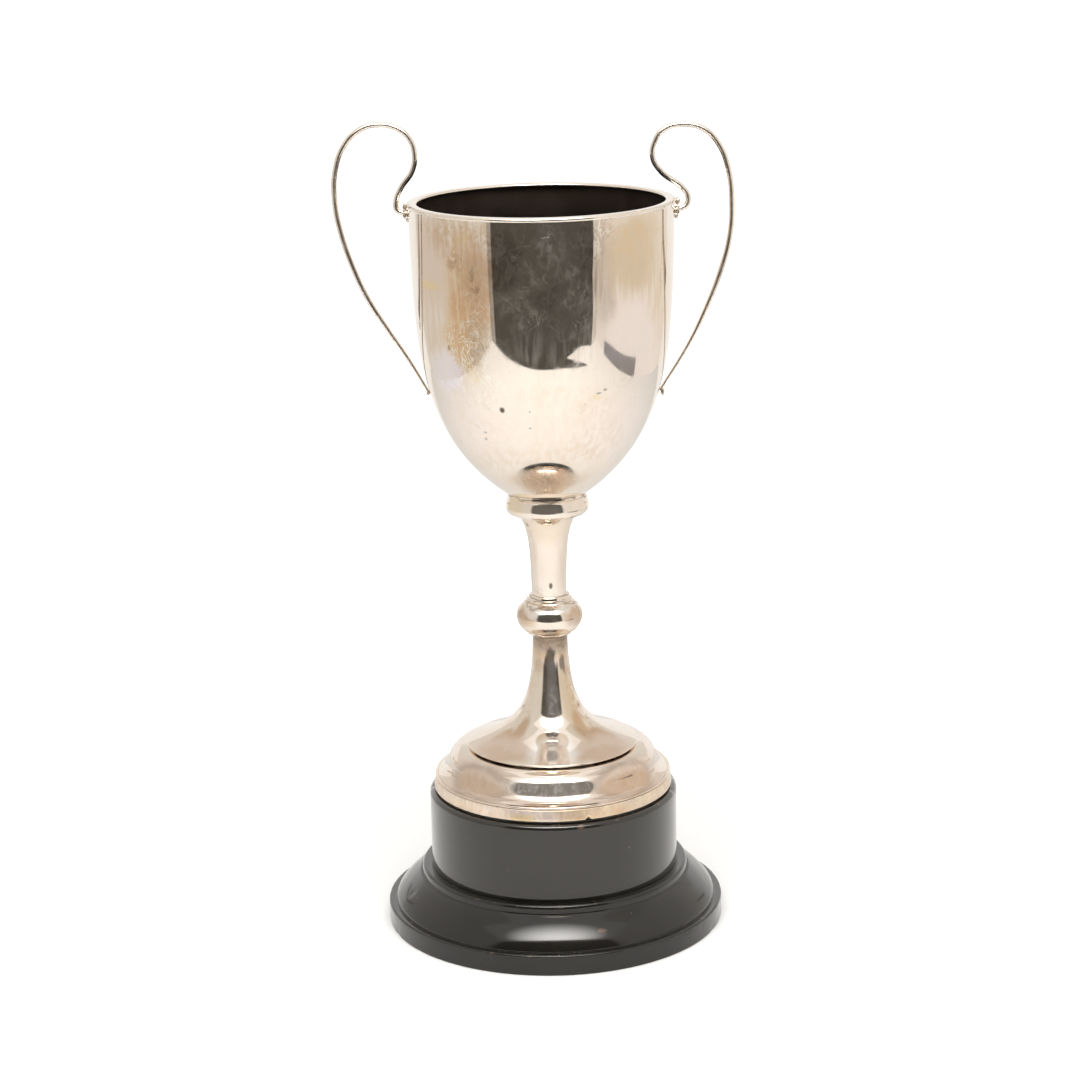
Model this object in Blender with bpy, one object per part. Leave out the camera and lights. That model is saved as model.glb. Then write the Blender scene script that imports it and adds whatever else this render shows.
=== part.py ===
"""A two-handled silver trophy cup that stands on a black turned plinth.

Metres, +Z up. The origin is the centre of the cloth pad's resting face. The handles lie in the
XZ plane, and the front of the cup faces -Y.
"""

import math

import bmesh
import bpy
from mathutils import Vector
from mathutils.geometry import interpolate_bezier

# Clearance and sheet
SEAM = 0.0003  # gap left at each soldered, glued or resting face
SILVER_WALL = 0.0010

# Silver foot: the plinth below and the disc above take their radii from it
FOOT_RADIUS = 0.0522
FOOT_RING_HEIGHT = 0.0047
FOOT_RING_FLARE = 0.0007
FOOT_RING_LIP = 0.0034
FOOT_RING_EDGE = 0.0004
FOOT_DOME_HEIGHT = 0.0137
FOOT_DOME_STEP = 0.0091  # from the foot's edge in to the dome's widest part
FOOT_DOME_SWELL = 0.0058  # from there in to the edge of the trumpet's disc
FOOT_FLANGE_HEIGHT = 0.0010
FOOT_COVE_HEIGHT = 0.0026
FOOT_COVE_WIDTH = 0.0040
FOOT_BEAD = 0.0006

# Trumpet-shaped lower stem with its spreading disc
TRUMPET_HEIGHT = 0.0484
TRUMPET_TOP_RADIUS = 0.0076
DISC_EDGE = 0.0006
DISC_OVERHANG = 0.0013
DISC_SEAT_WIDTH = 0.0057

# Knop and the two small rings that hold it
KNOP_HEIGHT = 0.0125
KNOP_RADIUS = 0.0143
KNOP_EYE = 0.0060
KNOP_SHOULDER = 0.0008
LOWER_RING_HEIGHT = 0.0023
LOWER_RING_RADIUS = 0.0099
UPPER_RING_HEIGHT = 0.0028
UPPER_RING_RADIUS = 0.0100
RING_NECK = 0.0009  # how far a ring's narrow end stands out from the stem
RING_EDGE = 0.0008

# Upper stem, collar and fillet
STEM_HEIGHT = 0.0353
STEM_RADIUS = 0.0075
STEM_MOUTH_RADIUS = 0.0131
COLLAR_HEIGHT = 0.0085
COLLAR_BELLY_HEIGHT = 0.0060
COLLAR_SWELL = 0.0008
COLLAR_OVERHANG = 0.0006
FILLET_HEIGHT = 0.0014
FILLET_INSET = 0.0015

# Bowl
BOWL_HEIGHT = 0.1220
BOWL_MOUTH_RADIUS = 0.0557
BOWL_SHOULDER_HEIGHT = 0.0473
BOWL_SHOULDER_INSET = 0.0060
BOWL_SEAT_RADIUS = 0.0186
BOWL_SEAT_WIDTH = 0.0045
BOWL_DIP = 0.0040

# Rim wire
RIM_HEIGHT = 0.0019
RIM_OVERHANG_OUT = 0.0004
RIM_OVERHANG_IN = 0.0028

# Handles
WIRE_RADIUS = 0.00115
WIRE_TIP_RADIUS = 0.0006
BOSS_RADIUS = 0.0016
BOSS_DEPTH = 0.0014
LEFT_BOSS_DROP = 0.0044  # below the rim's top
RIGHT_BOSS_DROP = 0.0052
LEFT_TIP_DROP = 0.0815
RIGHT_TIP_DROP = 0.0822

# Black plinth
DRUM_HEIGHT = 0.0341
DRUM_LEDGE = 0.0020
DRUM_CHAMFER = 0.0012
LAND_HEIGHT = 0.0008
LAND_INSET = 0.0014
SPIGOT_RADIUS = 0.0200
SPIGOT_HEIGHT = 0.0080
SPIGOT_END_GAP = 0.0010
STEP_HEIGHT = 0.0037
STEP_LEDGE = 0.0044
STEP_EDGE = 0.0008
OVOLO_HEIGHT = 0.0124
OVOLO_WIDTH = 0.0113
OVOLO_NECK = 0.0007
BAND_HEIGHT = 0.0089
BAND_LEDGE = 0.0031
BAND_EDGE = 0.0006
PAD_THICKNESS = 0.0012
PAD_PROUD = 0.0001
PAD_MARGIN = 0.0037

# Shapes of the curved outlines: the two handles of each curve, as shares of its width and height
BELLY_LEAVES = (0.56, 0.28)
SHOULDER_SLOPE = 0.26  # radians from the vertical
SHOULDER_PULLS = (0.42, 0.28)  # shares of the height below and above the shoulder
MOUTH_ARRIVES = (0.92, 0.73)
UNDER_HANDLES = ((0.50, 0.00), (0.64, 0.62))
STEM_HANDLES = ((0.07, 0.52), (0.09, 0.85))
TRUMPET_HANDLES = ((0.65, 0.15), (1.01, 0.21))
COLLAR_LOWER_HANDLES = ((0.52, 0.15), (1.00, 0.53))
COLLAR_UPPER_HANDLES = ((0.00, 0.64), (0.55, 1.00))
KNOP_LOWER_HANDLES = ((0.53, 0.16), (1.00, 0.55))
KNOP_UPPER_HANDLES = ((0.00, 0.48), (0.54, 0.78))
DOME_HANDLES = ((0.59, 0.00), (1.00, 0.48))
COVE_HANDLES = ((0.00, 0.54), (0.50, 0.88))
OVOLO_HANDLES = ((0.30, 0.15), (1.00, 0.72))

# Fineness of the turned surfaces and of the wire
WIDE_SEGMENTS = 40
NARROW_SEGMENTS = 28
BOSS_SEGMENTS = 12
WIRE_STEPS = 3
TAPER_POINTS = 3  # the wire thins over its last points
SHARP_ANGLE = 35.0

# Heights of the stack, from the pad up
BAND_TOP = PAD_PROUD + BAND_HEIGHT
OVOLO_TOP = BAND_TOP + OVOLO_HEIGHT
STEP_TOP = OVOLO_TOP + STEP_HEIGHT
DRUM_BOTTOM = STEP_TOP + SEAM
DRUM_TOP = DRUM_BOTTOM + DRUM_HEIGHT
LAND_TOP = DRUM_TOP + LAND_HEIGHT
FOOT_BOTTOM = LAND_TOP + SEAM
FOOT_RING_TOP = FOOT_BOTTOM + FOOT_RING_HEIGHT
DOME_BOTTOM = FOOT_RING_TOP + SEAM
DOME_TOP = DOME_BOTTOM + FOOT_DOME_HEIGHT
TRUMPET_BOTTOM = DOME_TOP + SEAM
TRUMPET_TOP = TRUMPET_BOTTOM + TRUMPET_HEIGHT
LOWER_RING_BOTTOM = TRUMPET_TOP + SEAM
KNOP_BOTTOM = LOWER_RING_BOTTOM + LOWER_RING_HEIGHT + SEAM
KNOP_TOP = KNOP_BOTTOM + KNOP_HEIGHT
UPPER_RING_BOTTOM = KNOP_TOP + SEAM
STEM_BOTTOM = UPPER_RING_BOTTOM + UPPER_RING_HEIGHT + SEAM
STEM_TOP = STEM_BOTTOM + STEM_HEIGHT
COLLAR_BOTTOM = STEM_TOP + SEAM
COLLAR_TOP = COLLAR_BOTTOM + COLLAR_HEIGHT
FILLET_BOTTOM = COLLAR_TOP + SEAM
FILLET_TOP = FILLET_BOTTOM + FILLET_HEIGHT
BOWL_BOTTOM = FILLET_TOP + SEAM
BOWL_TOP = BOWL_BOTTOM + BOWL_HEIGHT
RIM_BOTTOM = BOWL_TOP + SEAM
RIM_TOP = RIM_BOTTOM + RIM_HEIGHT

# Radii of the plinth, from the foot outwards
LAND_RADIUS = FOOT_RADIUS - LAND_INSET
DRUM_RADIUS = FOOT_RADIUS + DRUM_LEDGE
STEP_RADIUS = DRUM_RADIUS + STEP_LEDGE
OVOLO_TOP_RADIUS = STEP_RADIUS + OVOLO_NECK
BAND_RADIUS = OVOLO_TOP_RADIUS + OVOLO_WIDTH + BAND_LEDGE
PAD_RADIUS = BAND_RADIUS - PAD_MARGIN

# Radii of the silver
FOOT_RING_TOP_RADIUS = FOOT_RADIUS - FOOT_RING_FLARE
DOME_RADIUS = FOOT_RADIUS - FOOT_DOME_STEP
DISC_RADIUS = DOME_RADIUS - FOOT_DOME_SWELL
SEAT_INNER_RADIUS = BOWL_SEAT_RADIUS - BOWL_SEAT_WIDTH
FILLET_RADIUS = BOWL_SEAT_RADIUS - FILLET_INSET
RIM_RADIUS = BOWL_MOUTH_RADIUS + RIM_OVERHANG_OUT

# Each handle's centre line: how far out of the rim's outer edge, and how far above the rim's top
LEFT_ROUTE = (
    (0.0039, -0.0033),
    (0.0043, 0.0006),
    (0.0023, 0.0056),
    (-0.0029, 0.0132),
    (-0.0040, 0.0200),
    (-0.0020, 0.0263),
    (0.0030, 0.0307),
    (0.0115, 0.0326),
    (0.0190, 0.0303),
    (0.0254, 0.0240),
    (0.0293, 0.0140),
    (0.0301, 0.0010),
    (0.0280, -0.0120),
    (0.0236, -0.0262),
    (0.0176, -0.0404),
    (0.0101, -0.0529),
    (0.0013, -0.0666),
)
RIGHT_ROUTE = (
    (0.0046, -0.0036),
    (0.0052, 0.0002),
    (0.0030, 0.0036),
    (-0.0060, 0.0107),
    (-0.0094, 0.0170),
    (-0.0083, 0.0232),
    (-0.0045, 0.0280),
    (0.0040, 0.0299),
    (0.0125, 0.0275),
    (0.0184, 0.0210),
    (0.0222, 0.0110),
    (0.0237, -0.0030),
    (0.0226, -0.0175),
    (0.0185, -0.0322),
    (0.0127, -0.0468),
    (0.0058, -0.0611),
)


def finish(name, colour, metallic, roughness):
    """The plain finish of a piece."""
    material = bpy.data.materials.new(name)
    material.use_nodes = True
    shader = material.node_tree.nodes["Principled BSDF"]
    shader.inputs["Base Color"].default_value = (*colour, 1.0)
    shader.inputs["Metallic"].default_value = metallic
    shader.inputs["Roughness"].default_value = roughness
    return material


def bezier(start, first, second, end, steps):
    """Points (radius, height) along a curve through its two ends, drawn by two handle points."""
    knots = [Vector((across, up, 0.0)) for across, up in (start, first, second, end)]
    return [(point.x, point.y) for point in interpolate_bezier(*knots, steps + 1)]


def between(start, end, shares):
    """The point at these shares of the width and of the height from start to end."""
    across, up = shares
    return (start[0] + across * (end[0] - start[0]), start[1] + up * (end[1] - start[1]))


def swept(start, handles, end, steps):
    """A curve whose handle points are shares of the box from start to end."""
    return bezier(start, between(start, end, handles[0]), between(start, end, handles[1]), end, steps)


def arc(centre, radii, start_degrees, end_degrees, steps):
    """Points (radius, height) along a part of an ellipse."""
    points = []
    for step in range(steps + 1):
        angle = math.radians(start_degrees + (end_degrees - start_degrees) * step / steps)
        points.append((centre[0] + radii[0] * math.cos(angle), centre[1] + radii[1] * math.sin(angle)))
    return points


def inner_face(outline, wall):
    """The outline moved by the wall's thickness to the left of its direction of travel."""
    moved = []
    last = len(outline) - 1
    for index, point in enumerate(outline):
        here = Vector(point)
        into = here - Vector(outline[max(index - 1, 0)])
        out = Vector(outline[min(index + 1, last)]) - here
        along = (into.normalized() + out.normalized()).normalized()
        moved.append((here.x - along.y * wall, here.y + along.x * wall))
    return moved


def placed(name, mesh, material):
    """An object for the mesh, shaded smooth except across its corners."""
    mesh.shade_smooth()
    mesh.set_sharp_from_angle(angle=math.radians(SHARP_ANGLE))
    mesh.materials.append(material)
    piece = bpy.data.objects.new(name, mesh)
    bpy.context.scene.collection.objects.link(piece)
    return piece


def turned(name, profile, segments, material):
    """A solid of revolution about Z. A profile that starts on the axis also ends there."""
    shape = bmesh.new()
    corners = [shape.verts.new((radius, 0.0, height)) for radius, height in profile]
    pairs = list(zip(corners, corners[1:]))
    if profile[0][0] > 0.0:
        pairs.append((corners[-1], corners[0]))
    edges = [shape.edges.new(pair) for pair in pairs]
    bmesh.ops.spin(
        shape,
        geom=corners + edges,
        axis=(0.0, 0.0, 1.0),
        cent=(0.0, 0.0, 0.0),
        angle=math.tau,
        steps=segments,
        use_merge=True,
    )
    bmesh.ops.remove_doubles(shape, verts=shape.verts, dist=1e-6)
    bmesh.ops.recalc_face_normals(shape, faces=shape.faces)
    mesh = bpy.data.meshes.new(name)
    shape.to_mesh(mesh)
    shape.free()
    return placed(name, mesh, material)


def bowl_outline():
    """The bowl's outside, from its seat up to its mouth."""
    seat = (BOWL_SEAT_RADIUS, BOWL_BOTTOM)
    shoulder = (BOWL_MOUTH_RADIUS - BOWL_SHOULDER_INSET, BOWL_BOTTOM + BOWL_SHOULDER_HEIGHT)
    mouth = (BOWL_MOUTH_RADIUS, BOWL_TOP)
    below = SHOULDER_PULLS[0] * BOWL_SHOULDER_HEIGHT
    above = SHOULDER_PULLS[1] * (BOWL_HEIGHT - BOWL_SHOULDER_HEIGHT)
    lean = math.tan(SHOULDER_SLOPE)
    under_shoulder = (shoulder[0] - lean * below, shoulder[1] - below)
    over_shoulder = (shoulder[0] + lean * above, shoulder[1] + above)
    belly = bezier(seat, between(seat, shoulder, BELLY_LEAVES), under_shoulder, shoulder, 9)
    wall = bezier(shoulder, over_shoulder, between(shoulder, mouth, MOUTH_ARRIVES), mouth, 4)
    return belly + wall[1:]


def bowl_radius_at(height):
    """The bowl's outer radius at a height on its wall."""
    outline = bowl_outline()
    for (low_radius, low), (high_radius, high) in zip(outline, outline[1:]):
        if low <= height <= high:
            return low_radius + (high_radius - low_radius) * (height - low) / (high - low)
    return BOWL_MOUTH_RADIUS


def bowl(material):
    """The bowl, with a level seat under it and a rounded bottom that dips into the collar."""
    bottom = (0.0, BOWL_BOTTOM - BOWL_DIP)
    outside = swept(bottom, UNDER_HANDLES, (SEAT_INNER_RADIUS, BOWL_BOTTOM), 4) + bowl_outline()
    inside = inner_face(outside, SILVER_WALL)
    inside[0] = (0.0, bottom[1] + SILVER_WALL)
    inside[-1] = (BOWL_MOUTH_RADIUS - SILVER_WALL, BOWL_TOP)
    return turned("bowl", outside + inside[::-1], WIDE_SEGMENTS, material)


def rim_wire(material):
    """A flat wire with round edges that caps the bowl's mouth and overhangs it inwards."""
    edge = RIM_HEIGHT / 2
    inner = BOWL_MOUTH_RADIUS - SILVER_WALL - RIM_OVERHANG_IN
    outward = arc((RIM_RADIUS - edge, RIM_BOTTOM + edge), (edge, edge), -90, 90, 4)
    inward = arc((inner + edge, RIM_BOTTOM + edge), (edge, edge), 90, 270, 4)
    return turned("rim_wire", outward + inward, WIDE_SEGMENTS, material)


def collar_fillet(material):
    """The narrow ring between the collar and the bowl."""
    inner = SEAT_INNER_RADIUS + SEAM
    edge = FILLET_HEIGHT / 2
    outer = arc((FILLET_RADIUS - edge, FILLET_BOTTOM + edge), (edge, edge), -90, 90, 4)
    profile = [(inner, FILLET_BOTTOM), *outer, (inner, FILLET_TOP)]
    return turned("collar_fillet", profile, NARROW_SEGMENTS, material)


def collar_ring(material):
    """The cushion-shaped ring under the bowl, open through its middle."""
    neck = (STEM_MOUTH_RADIUS + COLLAR_OVERHANG, COLLAR_BOTTOM)
    belly = (FILLET_RADIUS + COLLAR_SWELL, COLLAR_BOTTOM + COLLAR_BELLY_HEIGHT)
    shoulder = (FILLET_RADIUS - SEAM, COLLAR_TOP)
    outside = swept(neck, COLLAR_LOWER_HANDLES, belly, 4)
    outside += swept(belly, COLLAR_UPPER_HANDLES, shoulder, 3)[1:]
    inner_top = (SEAT_INNER_RADIUS + SEAM, COLLAR_TOP)
    inner_bottom = (STEM_MOUTH_RADIUS - 2 * SILVER_WALL, COLLAR_BOTTOM)
    return turned("collar_ring", [*outside, inner_top, inner_bottom], NARROW_SEGMENTS, material)


def stem_upper(material):
    """The upper stem: a tube that opens upwards to the collar, level at both ends."""
    outside = swept((STEM_RADIUS, STEM_BOTTOM), STEM_HANDLES, (STEM_MOUTH_RADIUS, STEM_TOP), 9)
    inside = inner_face(outside, SILVER_WALL)
    inside[0] = (inside[0][0], STEM_BOTTOM)
    inside[-1] = (inside[-1][0], STEM_TOP)
    return turned("stem_upper", outside + inside[::-1], NARROW_SEGMENTS, material)


def knop_ring(name, bottom, height, low_radius, high_radius, material):
    """A small ring, round where it meets the knop and narrow where it meets the stem."""
    top = bottom + height
    if high_radius > low_radius:
        centre = (high_radius - RING_EDGE, top - RING_EDGE)
        outer = [(low_radius, bottom), *arc(centre, (RING_EDGE, RING_EDGE), -45, 90, 3)]
    else:
        centre = (low_radius - RING_EDGE, bottom + RING_EDGE)
        outer = [*arc(centre, (RING_EDGE, RING_EDGE), -90, 45, 3), (high_radius, top)]
    profile = [(KNOP_EYE, bottom), *outer, (KNOP_EYE, top)]
    return turned(name, profile, NARROW_SEGMENTS, material)


def knop(material):
    """A swollen ring, a little fuller below its middle than above it."""
    low = (LOWER_RING_RADIUS + 2 * KNOP_SHOULDER, KNOP_BOTTOM)
    middle = (KNOP_RADIUS, KNOP_BOTTOM + KNOP_HEIGHT / 2)
    high = (UPPER_RING_RADIUS + KNOP_SHOULDER / 2, KNOP_TOP)
    outside = swept(low, KNOP_LOWER_HANDLES, middle, 4)
    outside += swept(middle, KNOP_UPPER_HANDLES, high, 4)[1:]
    profile = [*outside, (KNOP_EYE, KNOP_TOP), (KNOP_EYE, KNOP_BOTTOM)]
    return turned("knop", profile, NARROW_SEGMENTS, material)


def stem_foot(material):
    """The trumpet: a tube that flares out into a thin disc with an upright edge."""
    edge = (DISC_RADIUS, TRUMPET_BOTTOM + DISC_EDGE)
    flare = swept(edge, TRUMPET_HANDLES, (TRUMPET_TOP_RADIUS, TRUMPET_TOP), 15)
    inside = inner_face(flare, SILVER_WALL)
    inside[-1] = (TRUMPET_TOP_RADIUS - SILVER_WALL, TRUMPET_TOP)
    inside = [point for point in inside if point[1] > edge[1] + SILVER_WALL]
    underside = [(inside[0][0], TRUMPET_BOTTOM), (DISC_RADIUS, TRUMPET_BOTTOM)]
    return turned("stem_foot", underside + flare + inside[::-1], WIDE_SEGMENTS, material)


def foot_dome(material):
    """The domed foot: a level table under the disc, a full shoulder, a cove and a beaded flange."""
    table = (DISC_RADIUS - DISC_OVERHANG, DOME_TOP)
    flange = (DOME_RADIUS + FOOT_COVE_WIDTH, DOME_BOTTOM + FOOT_FLANGE_HEIGHT)
    cove = (DOME_RADIUS, flange[1] + FOOT_COVE_HEIGHT)
    bead = (FOOT_RING_TOP_RADIUS - FOOT_BEAD, DOME_BOTTOM + FOOT_BEAD)
    sheet = swept(table, DOME_HANDLES, cove, 7) + swept(cove, COVE_HANDLES, flange, 3)[1:]
    inside = inner_face(sheet, -SILVER_WALL)
    inner_edge = table[0] - DISC_SEAT_WIDTH
    profile = [(inner_edge, DOME_TOP), *sheet, *arc(bead, (FOOT_BEAD, FOOT_BEAD), 150, -90, 5)]
    profile += [*inside[::-1], (inner_edge, DOME_TOP - SILVER_WALL)]
    return turned("foot_dome", profile, WIDE_SEGMENTS, material)


def foot_skirt(material):
    """The upright foot ring, whose inward lip stands on the plinth's land."""
    inner = FOOT_RING_TOP_RADIUS - SILVER_WALL
    lip = FOOT_RADIUS - FOOT_RING_LIP
    profile = [
        (lip, FOOT_BOTTOM),
        (FOOT_RADIUS - FOOT_RING_EDGE, FOOT_BOTTOM),
        (FOOT_RADIUS, FOOT_BOTTOM + FOOT_RING_EDGE),
        (FOOT_RING_TOP_RADIUS, FOOT_RING_TOP),
        (inner, FOOT_RING_TOP),
        (inner, FOOT_BOTTOM + SILVER_WALL),
        (lip, FOOT_BOTTOM + SILVER_WALL),
    ]
    return turned("foot_skirt", profile, WIDE_SEGMENTS, material)


def plinth_drum(material):
    """The upper block, with the raised land that carries the cup and a spigot below."""
    spigot_end = DRUM_BOTTOM - SPIGOT_HEIGHT
    corner = (DRUM_RADIUS - DRUM_CHAMFER, DRUM_TOP - DRUM_CHAMFER)
    rounding = arc(corner, (DRUM_CHAMFER, DRUM_CHAMFER), 0, 90, 3)
    profile = [(0.0, spigot_end), (SPIGOT_RADIUS, spigot_end), (SPIGOT_RADIUS, DRUM_BOTTOM)]
    profile += [(DRUM_RADIUS, DRUM_BOTTOM), *rounding]
    profile += [(LAND_RADIUS, DRUM_TOP), (LAND_RADIUS, LAND_TOP), (0.0, LAND_TOP)]
    return turned("plinth_drum", profile, WIDE_SEGMENTS, material)


def plinth_base(material):
    """The moulded base: a flat band, a swelling slope and a step, recessed underneath."""
    pocket = PAD_RADIUS + SEAM
    pocket_top = PAD_THICKNESS + SEAM
    socket = SPIGOT_RADIUS + SEAM
    socket_end = DRUM_BOTTOM - SPIGOT_HEIGHT - SPIGOT_END_GAP
    band_corner = (BAND_RADIUS - BAND_EDGE, BAND_TOP - BAND_EDGE)
    step_corner = (STEP_RADIUS - STEP_EDGE, STEP_TOP - STEP_EDGE)
    profile = [(0.0, pocket_top), (pocket, pocket_top), (pocket, PAD_PROUD), (BAND_RADIUS, PAD_PROUD)]
    profile += arc(band_corner, (BAND_EDGE, BAND_EDGE), 0, 90, 2)
    swell_top = (OVOLO_TOP_RADIUS, OVOLO_TOP)
    swell_foot = (OVOLO_TOP_RADIUS + OVOLO_WIDTH, BAND_TOP)
    profile += swept(swell_top, OVOLO_HANDLES, swell_foot, 8)[::-1]
    profile += [(STEP_RADIUS - STEP_EDGE / 2, OVOLO_TOP), (STEP_RADIUS, OVOLO_TOP + STEP_EDGE / 2)]
    profile += arc(step_corner, (STEP_EDGE, STEP_EDGE), 0, 90, 2)
    profile += [(socket, STEP_TOP), (socket, socket_end), (0.0, socket_end)]
    return turned("plinth_base", profile, WIDE_SEGMENTS, material)


def baize_pad(material):
    """The cloth disc that the whole cup rests on."""
    profile = [(0.0, 0.0), (PAD_RADIUS, 0.0), (PAD_RADIUS, PAD_THICKNESS), (0.0, PAD_THICKNESS)]
    return turned("baize_pad", profile, WIDE_SEGMENTS, material)


def boss_face():
    """How far the bosses' outer faces stand from the cup's axis."""
    return BOWL_MOUTH_RADIUS + SEAM + BOSS_DEPTH


def handle_boss(name, side, drop, material):
    """A small button on the bowl's wall that takes the upper end of a handle."""
    foot = bowl_radius_at(RIM_TOP - drop) + SEAM
    depth = boss_face() - foot
    dome = arc((0.0, depth / 2), (BOSS_RADIUS, depth / 2), 0, 60, 3)
    profile = [(0.0, 0.0), (BOSS_RADIUS, 0.0), *dome, (0.0, depth)]
    piece = turned(name, profile, BOSS_SEGMENTS, material)
    piece.rotation_euler = (0.0, side * math.pi / 2, 0.0)
    piece.location = (side * foot, 0.0, RIM_TOP - drop)
    return piece


def handle(name, side, route, boss_drop, tip_drop, material):
    """One round wire: out of its boss, in over the rim, round the bow and down to the bowl."""
    tip_out = bowl_radius_at(RIM_TOP - tip_drop) + SEAM + WIRE_TIP_RADIUS + SEAM - RIM_RADIUS
    start_out = boss_face() + SEAM - RIM_RADIUS
    points = [(start_out, -boss_drop), *route, (tip_out, -tip_drop)]
    curve = bpy.data.curves.new(name, "CURVE")
    curve.dimensions = "3D"
    curve.bevel_depth = WIRE_RADIUS
    curve.bevel_resolution = 1
    curve.resolution_u = WIRE_STEPS
    curve.use_fill_caps = True
    curve.materials.append(material)
    spline = curve.splines.new("BEZIER")
    spline.bezier_points.add(len(points) - 1)
    thinning = 1.0 - WIRE_TIP_RADIUS / WIRE_RADIUS
    for index, (out, up) in enumerate(points):
        knot = spline.bezier_points[index]
        knot.co = (side * (RIM_RADIUS + out), 0.0, RIM_TOP + up)
        knot.handle_left_type = "AUTO"
        knot.handle_right_type = "AUTO"
        to_tip = len(points) - 1 - index
        knot.radius = 1.0 - thinning * max(TAPER_POINTS - to_tip, 0) / TAPER_POINTS
    piece = bpy.data.objects.new(name, curve)
    bpy.context.scene.collection.objects.link(piece)
    return piece


def cup_lift():
    """The empty that carries the silver cup, on its axis where the foot meets the plinth."""
    empty = bpy.data.objects.new("cup_lift", None)
    empty.location = (0.0, 0.0, LAND_TOP)
    bpy.context.scene.collection.objects.link(empty)
    bpy.context.view_layer.update()
    return empty


def plinth():
    black_wood = finish("black_wood", (0.020, 0.019, 0.018), 0.0, 0.35)
    green_baize = finish("green_baize", (0.020, 0.070, 0.040), 0.0, 0.95)
    plinth_drum(black_wood)
    plinth_base(black_wood)
    baize_pad(green_baize)


def cup():
    silver = finish("silver", (0.86, 0.82, 0.76), 1.0, 0.12)
    cast_silver = finish("cast_silver", (0.84, 0.79, 0.72), 1.0, 0.14)
    foot_silver = finish("foot_silver", (0.82, 0.74, 0.62), 1.0, 0.16)
    wire_silver = finish("wire_silver", (0.80, 0.76, 0.70), 1.0, 0.16)
    lower_neck = TRUMPET_TOP_RADIUS + RING_NECK
    upper_neck = STEM_RADIUS + RING_NECK
    lower = ("knop_ring_lower", LOWER_RING_BOTTOM, LOWER_RING_HEIGHT, lower_neck, LOWER_RING_RADIUS)
    upper = ("knop_ring_upper", UPPER_RING_BOTTOM, UPPER_RING_HEIGHT, UPPER_RING_RADIUS, upper_neck)
    pieces = [
        foot_skirt(foot_silver),
        foot_dome(foot_silver),
        stem_foot(silver),
        knop_ring(*lower, cast_silver),
        knop(cast_silver),
        knop_ring(*upper, cast_silver),
        stem_upper(silver),
        collar_ring(cast_silver),
        collar_fillet(cast_silver),
        bowl(silver),
        rim_wire(silver),
        handle_boss("handle_left_boss", -1, LEFT_BOSS_DROP, wire_silver),
        handle_boss("handle_right_boss", 1, RIGHT_BOSS_DROP, wire_silver),
        handle("handle_left", -1, LEFT_ROUTE, LEFT_BOSS_DROP, LEFT_TIP_DROP, wire_silver),
        handle("handle_right", 1, RIGHT_ROUTE, RIGHT_BOSS_DROP, RIGHT_TIP_DROP, wire_silver),
    ]
    carrier = cup_lift()
    for piece in pieces:
        piece.parent = carrier
        piece.matrix_parent_inverse = carrier.matrix_world.inverted()


for old in list(bpy.data.objects):
    bpy.data.objects.remove(old, do_unlink=True)
plinth()
cup()
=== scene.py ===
import math

import bmesh
import bpy
from mathutils import Matrix, Vector, noise
from mathutils.geometry import interpolate_bezier


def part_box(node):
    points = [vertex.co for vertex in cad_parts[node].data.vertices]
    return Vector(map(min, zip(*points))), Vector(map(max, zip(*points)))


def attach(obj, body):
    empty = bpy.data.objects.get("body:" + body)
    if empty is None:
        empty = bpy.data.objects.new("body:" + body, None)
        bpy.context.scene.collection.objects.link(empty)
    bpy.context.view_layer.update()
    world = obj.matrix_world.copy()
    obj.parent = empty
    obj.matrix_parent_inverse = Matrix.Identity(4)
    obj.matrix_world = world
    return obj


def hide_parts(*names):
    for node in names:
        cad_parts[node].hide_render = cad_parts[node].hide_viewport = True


MM = 0.001
SHARP_ANGLE = 32.0

# Fineness of the turned surfaces
WIDE = 288
SMALL = 144
FINE_EDGE = 720

# How far neighbouring soldered or glued pieces run on to close the seam between them
NEST = 0.18 * MM
SILVER_WALL = 1.0 * MM

# Curve handles, as shares of the width and height of each sweep
BELLY_LEAVES = (0.56, 0.28)
SHOULDER_SLOPE = 0.26
SHOULDER_PULLS = (0.42, 0.28)
MOUTH_ARRIVES = (0.92, 0.73)
UNDER_HANDLES = ((0.50, 0.00), (0.64, 0.62))
STEM_HANDLES = ((0.07, 0.52), (0.09, 0.85))
TRUMPET_HANDLES = ((0.65, 0.15), (0.985, 0.21))
KNOP_LOWER_RADII = (10.9 * MM, 9.34 * MM)
KNOP_UPPER_RADII = (8.5 * MM, 7.43 * MM)
OVOLO_HANDLES = ((0.30, 0.15), (1.00, 0.72))
CORNER_PULL = 0.45

# Rolled outlines: how far up the surface looks at the start, then the radius of each arc and how far
# up it looks at its end
COLLAR_BULGE = 2.526 * MM
COLLAR_STARTS = -80.0
COLLAR_RUNS = ((3.0 * MM, -8.0), (8.0 * MM, 29.0), (2.2 * MM, 65.0))
DOME_STARTS = 70.0
DOME_COVE = ((-6.8 * MM, 51.0), (-9.2 * MM, 35.0), (-7.8 * MM, 9.0))
DOME_CROWN = ((5.0 * MM, 35.0), (10.0 * MM, 51.0), (8.8 * MM, 69.0))

# Bowl: its shoulder, its seat on the collar, and how deep its bottom dips outside and inside
BOWL_SHOULDER_HEIGHT = 47.3 * MM
BOWL_SHOULDER_INSET = 6.0 * MM
BOWL_SEAT_RADIUS = 18.6 * MM
BOWL_SEAT_INNER = 14.1 * MM
BOWL_DIP = 4.0 * MM
BOWL_INSIDE_DIP = 3.0 * MM

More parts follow.
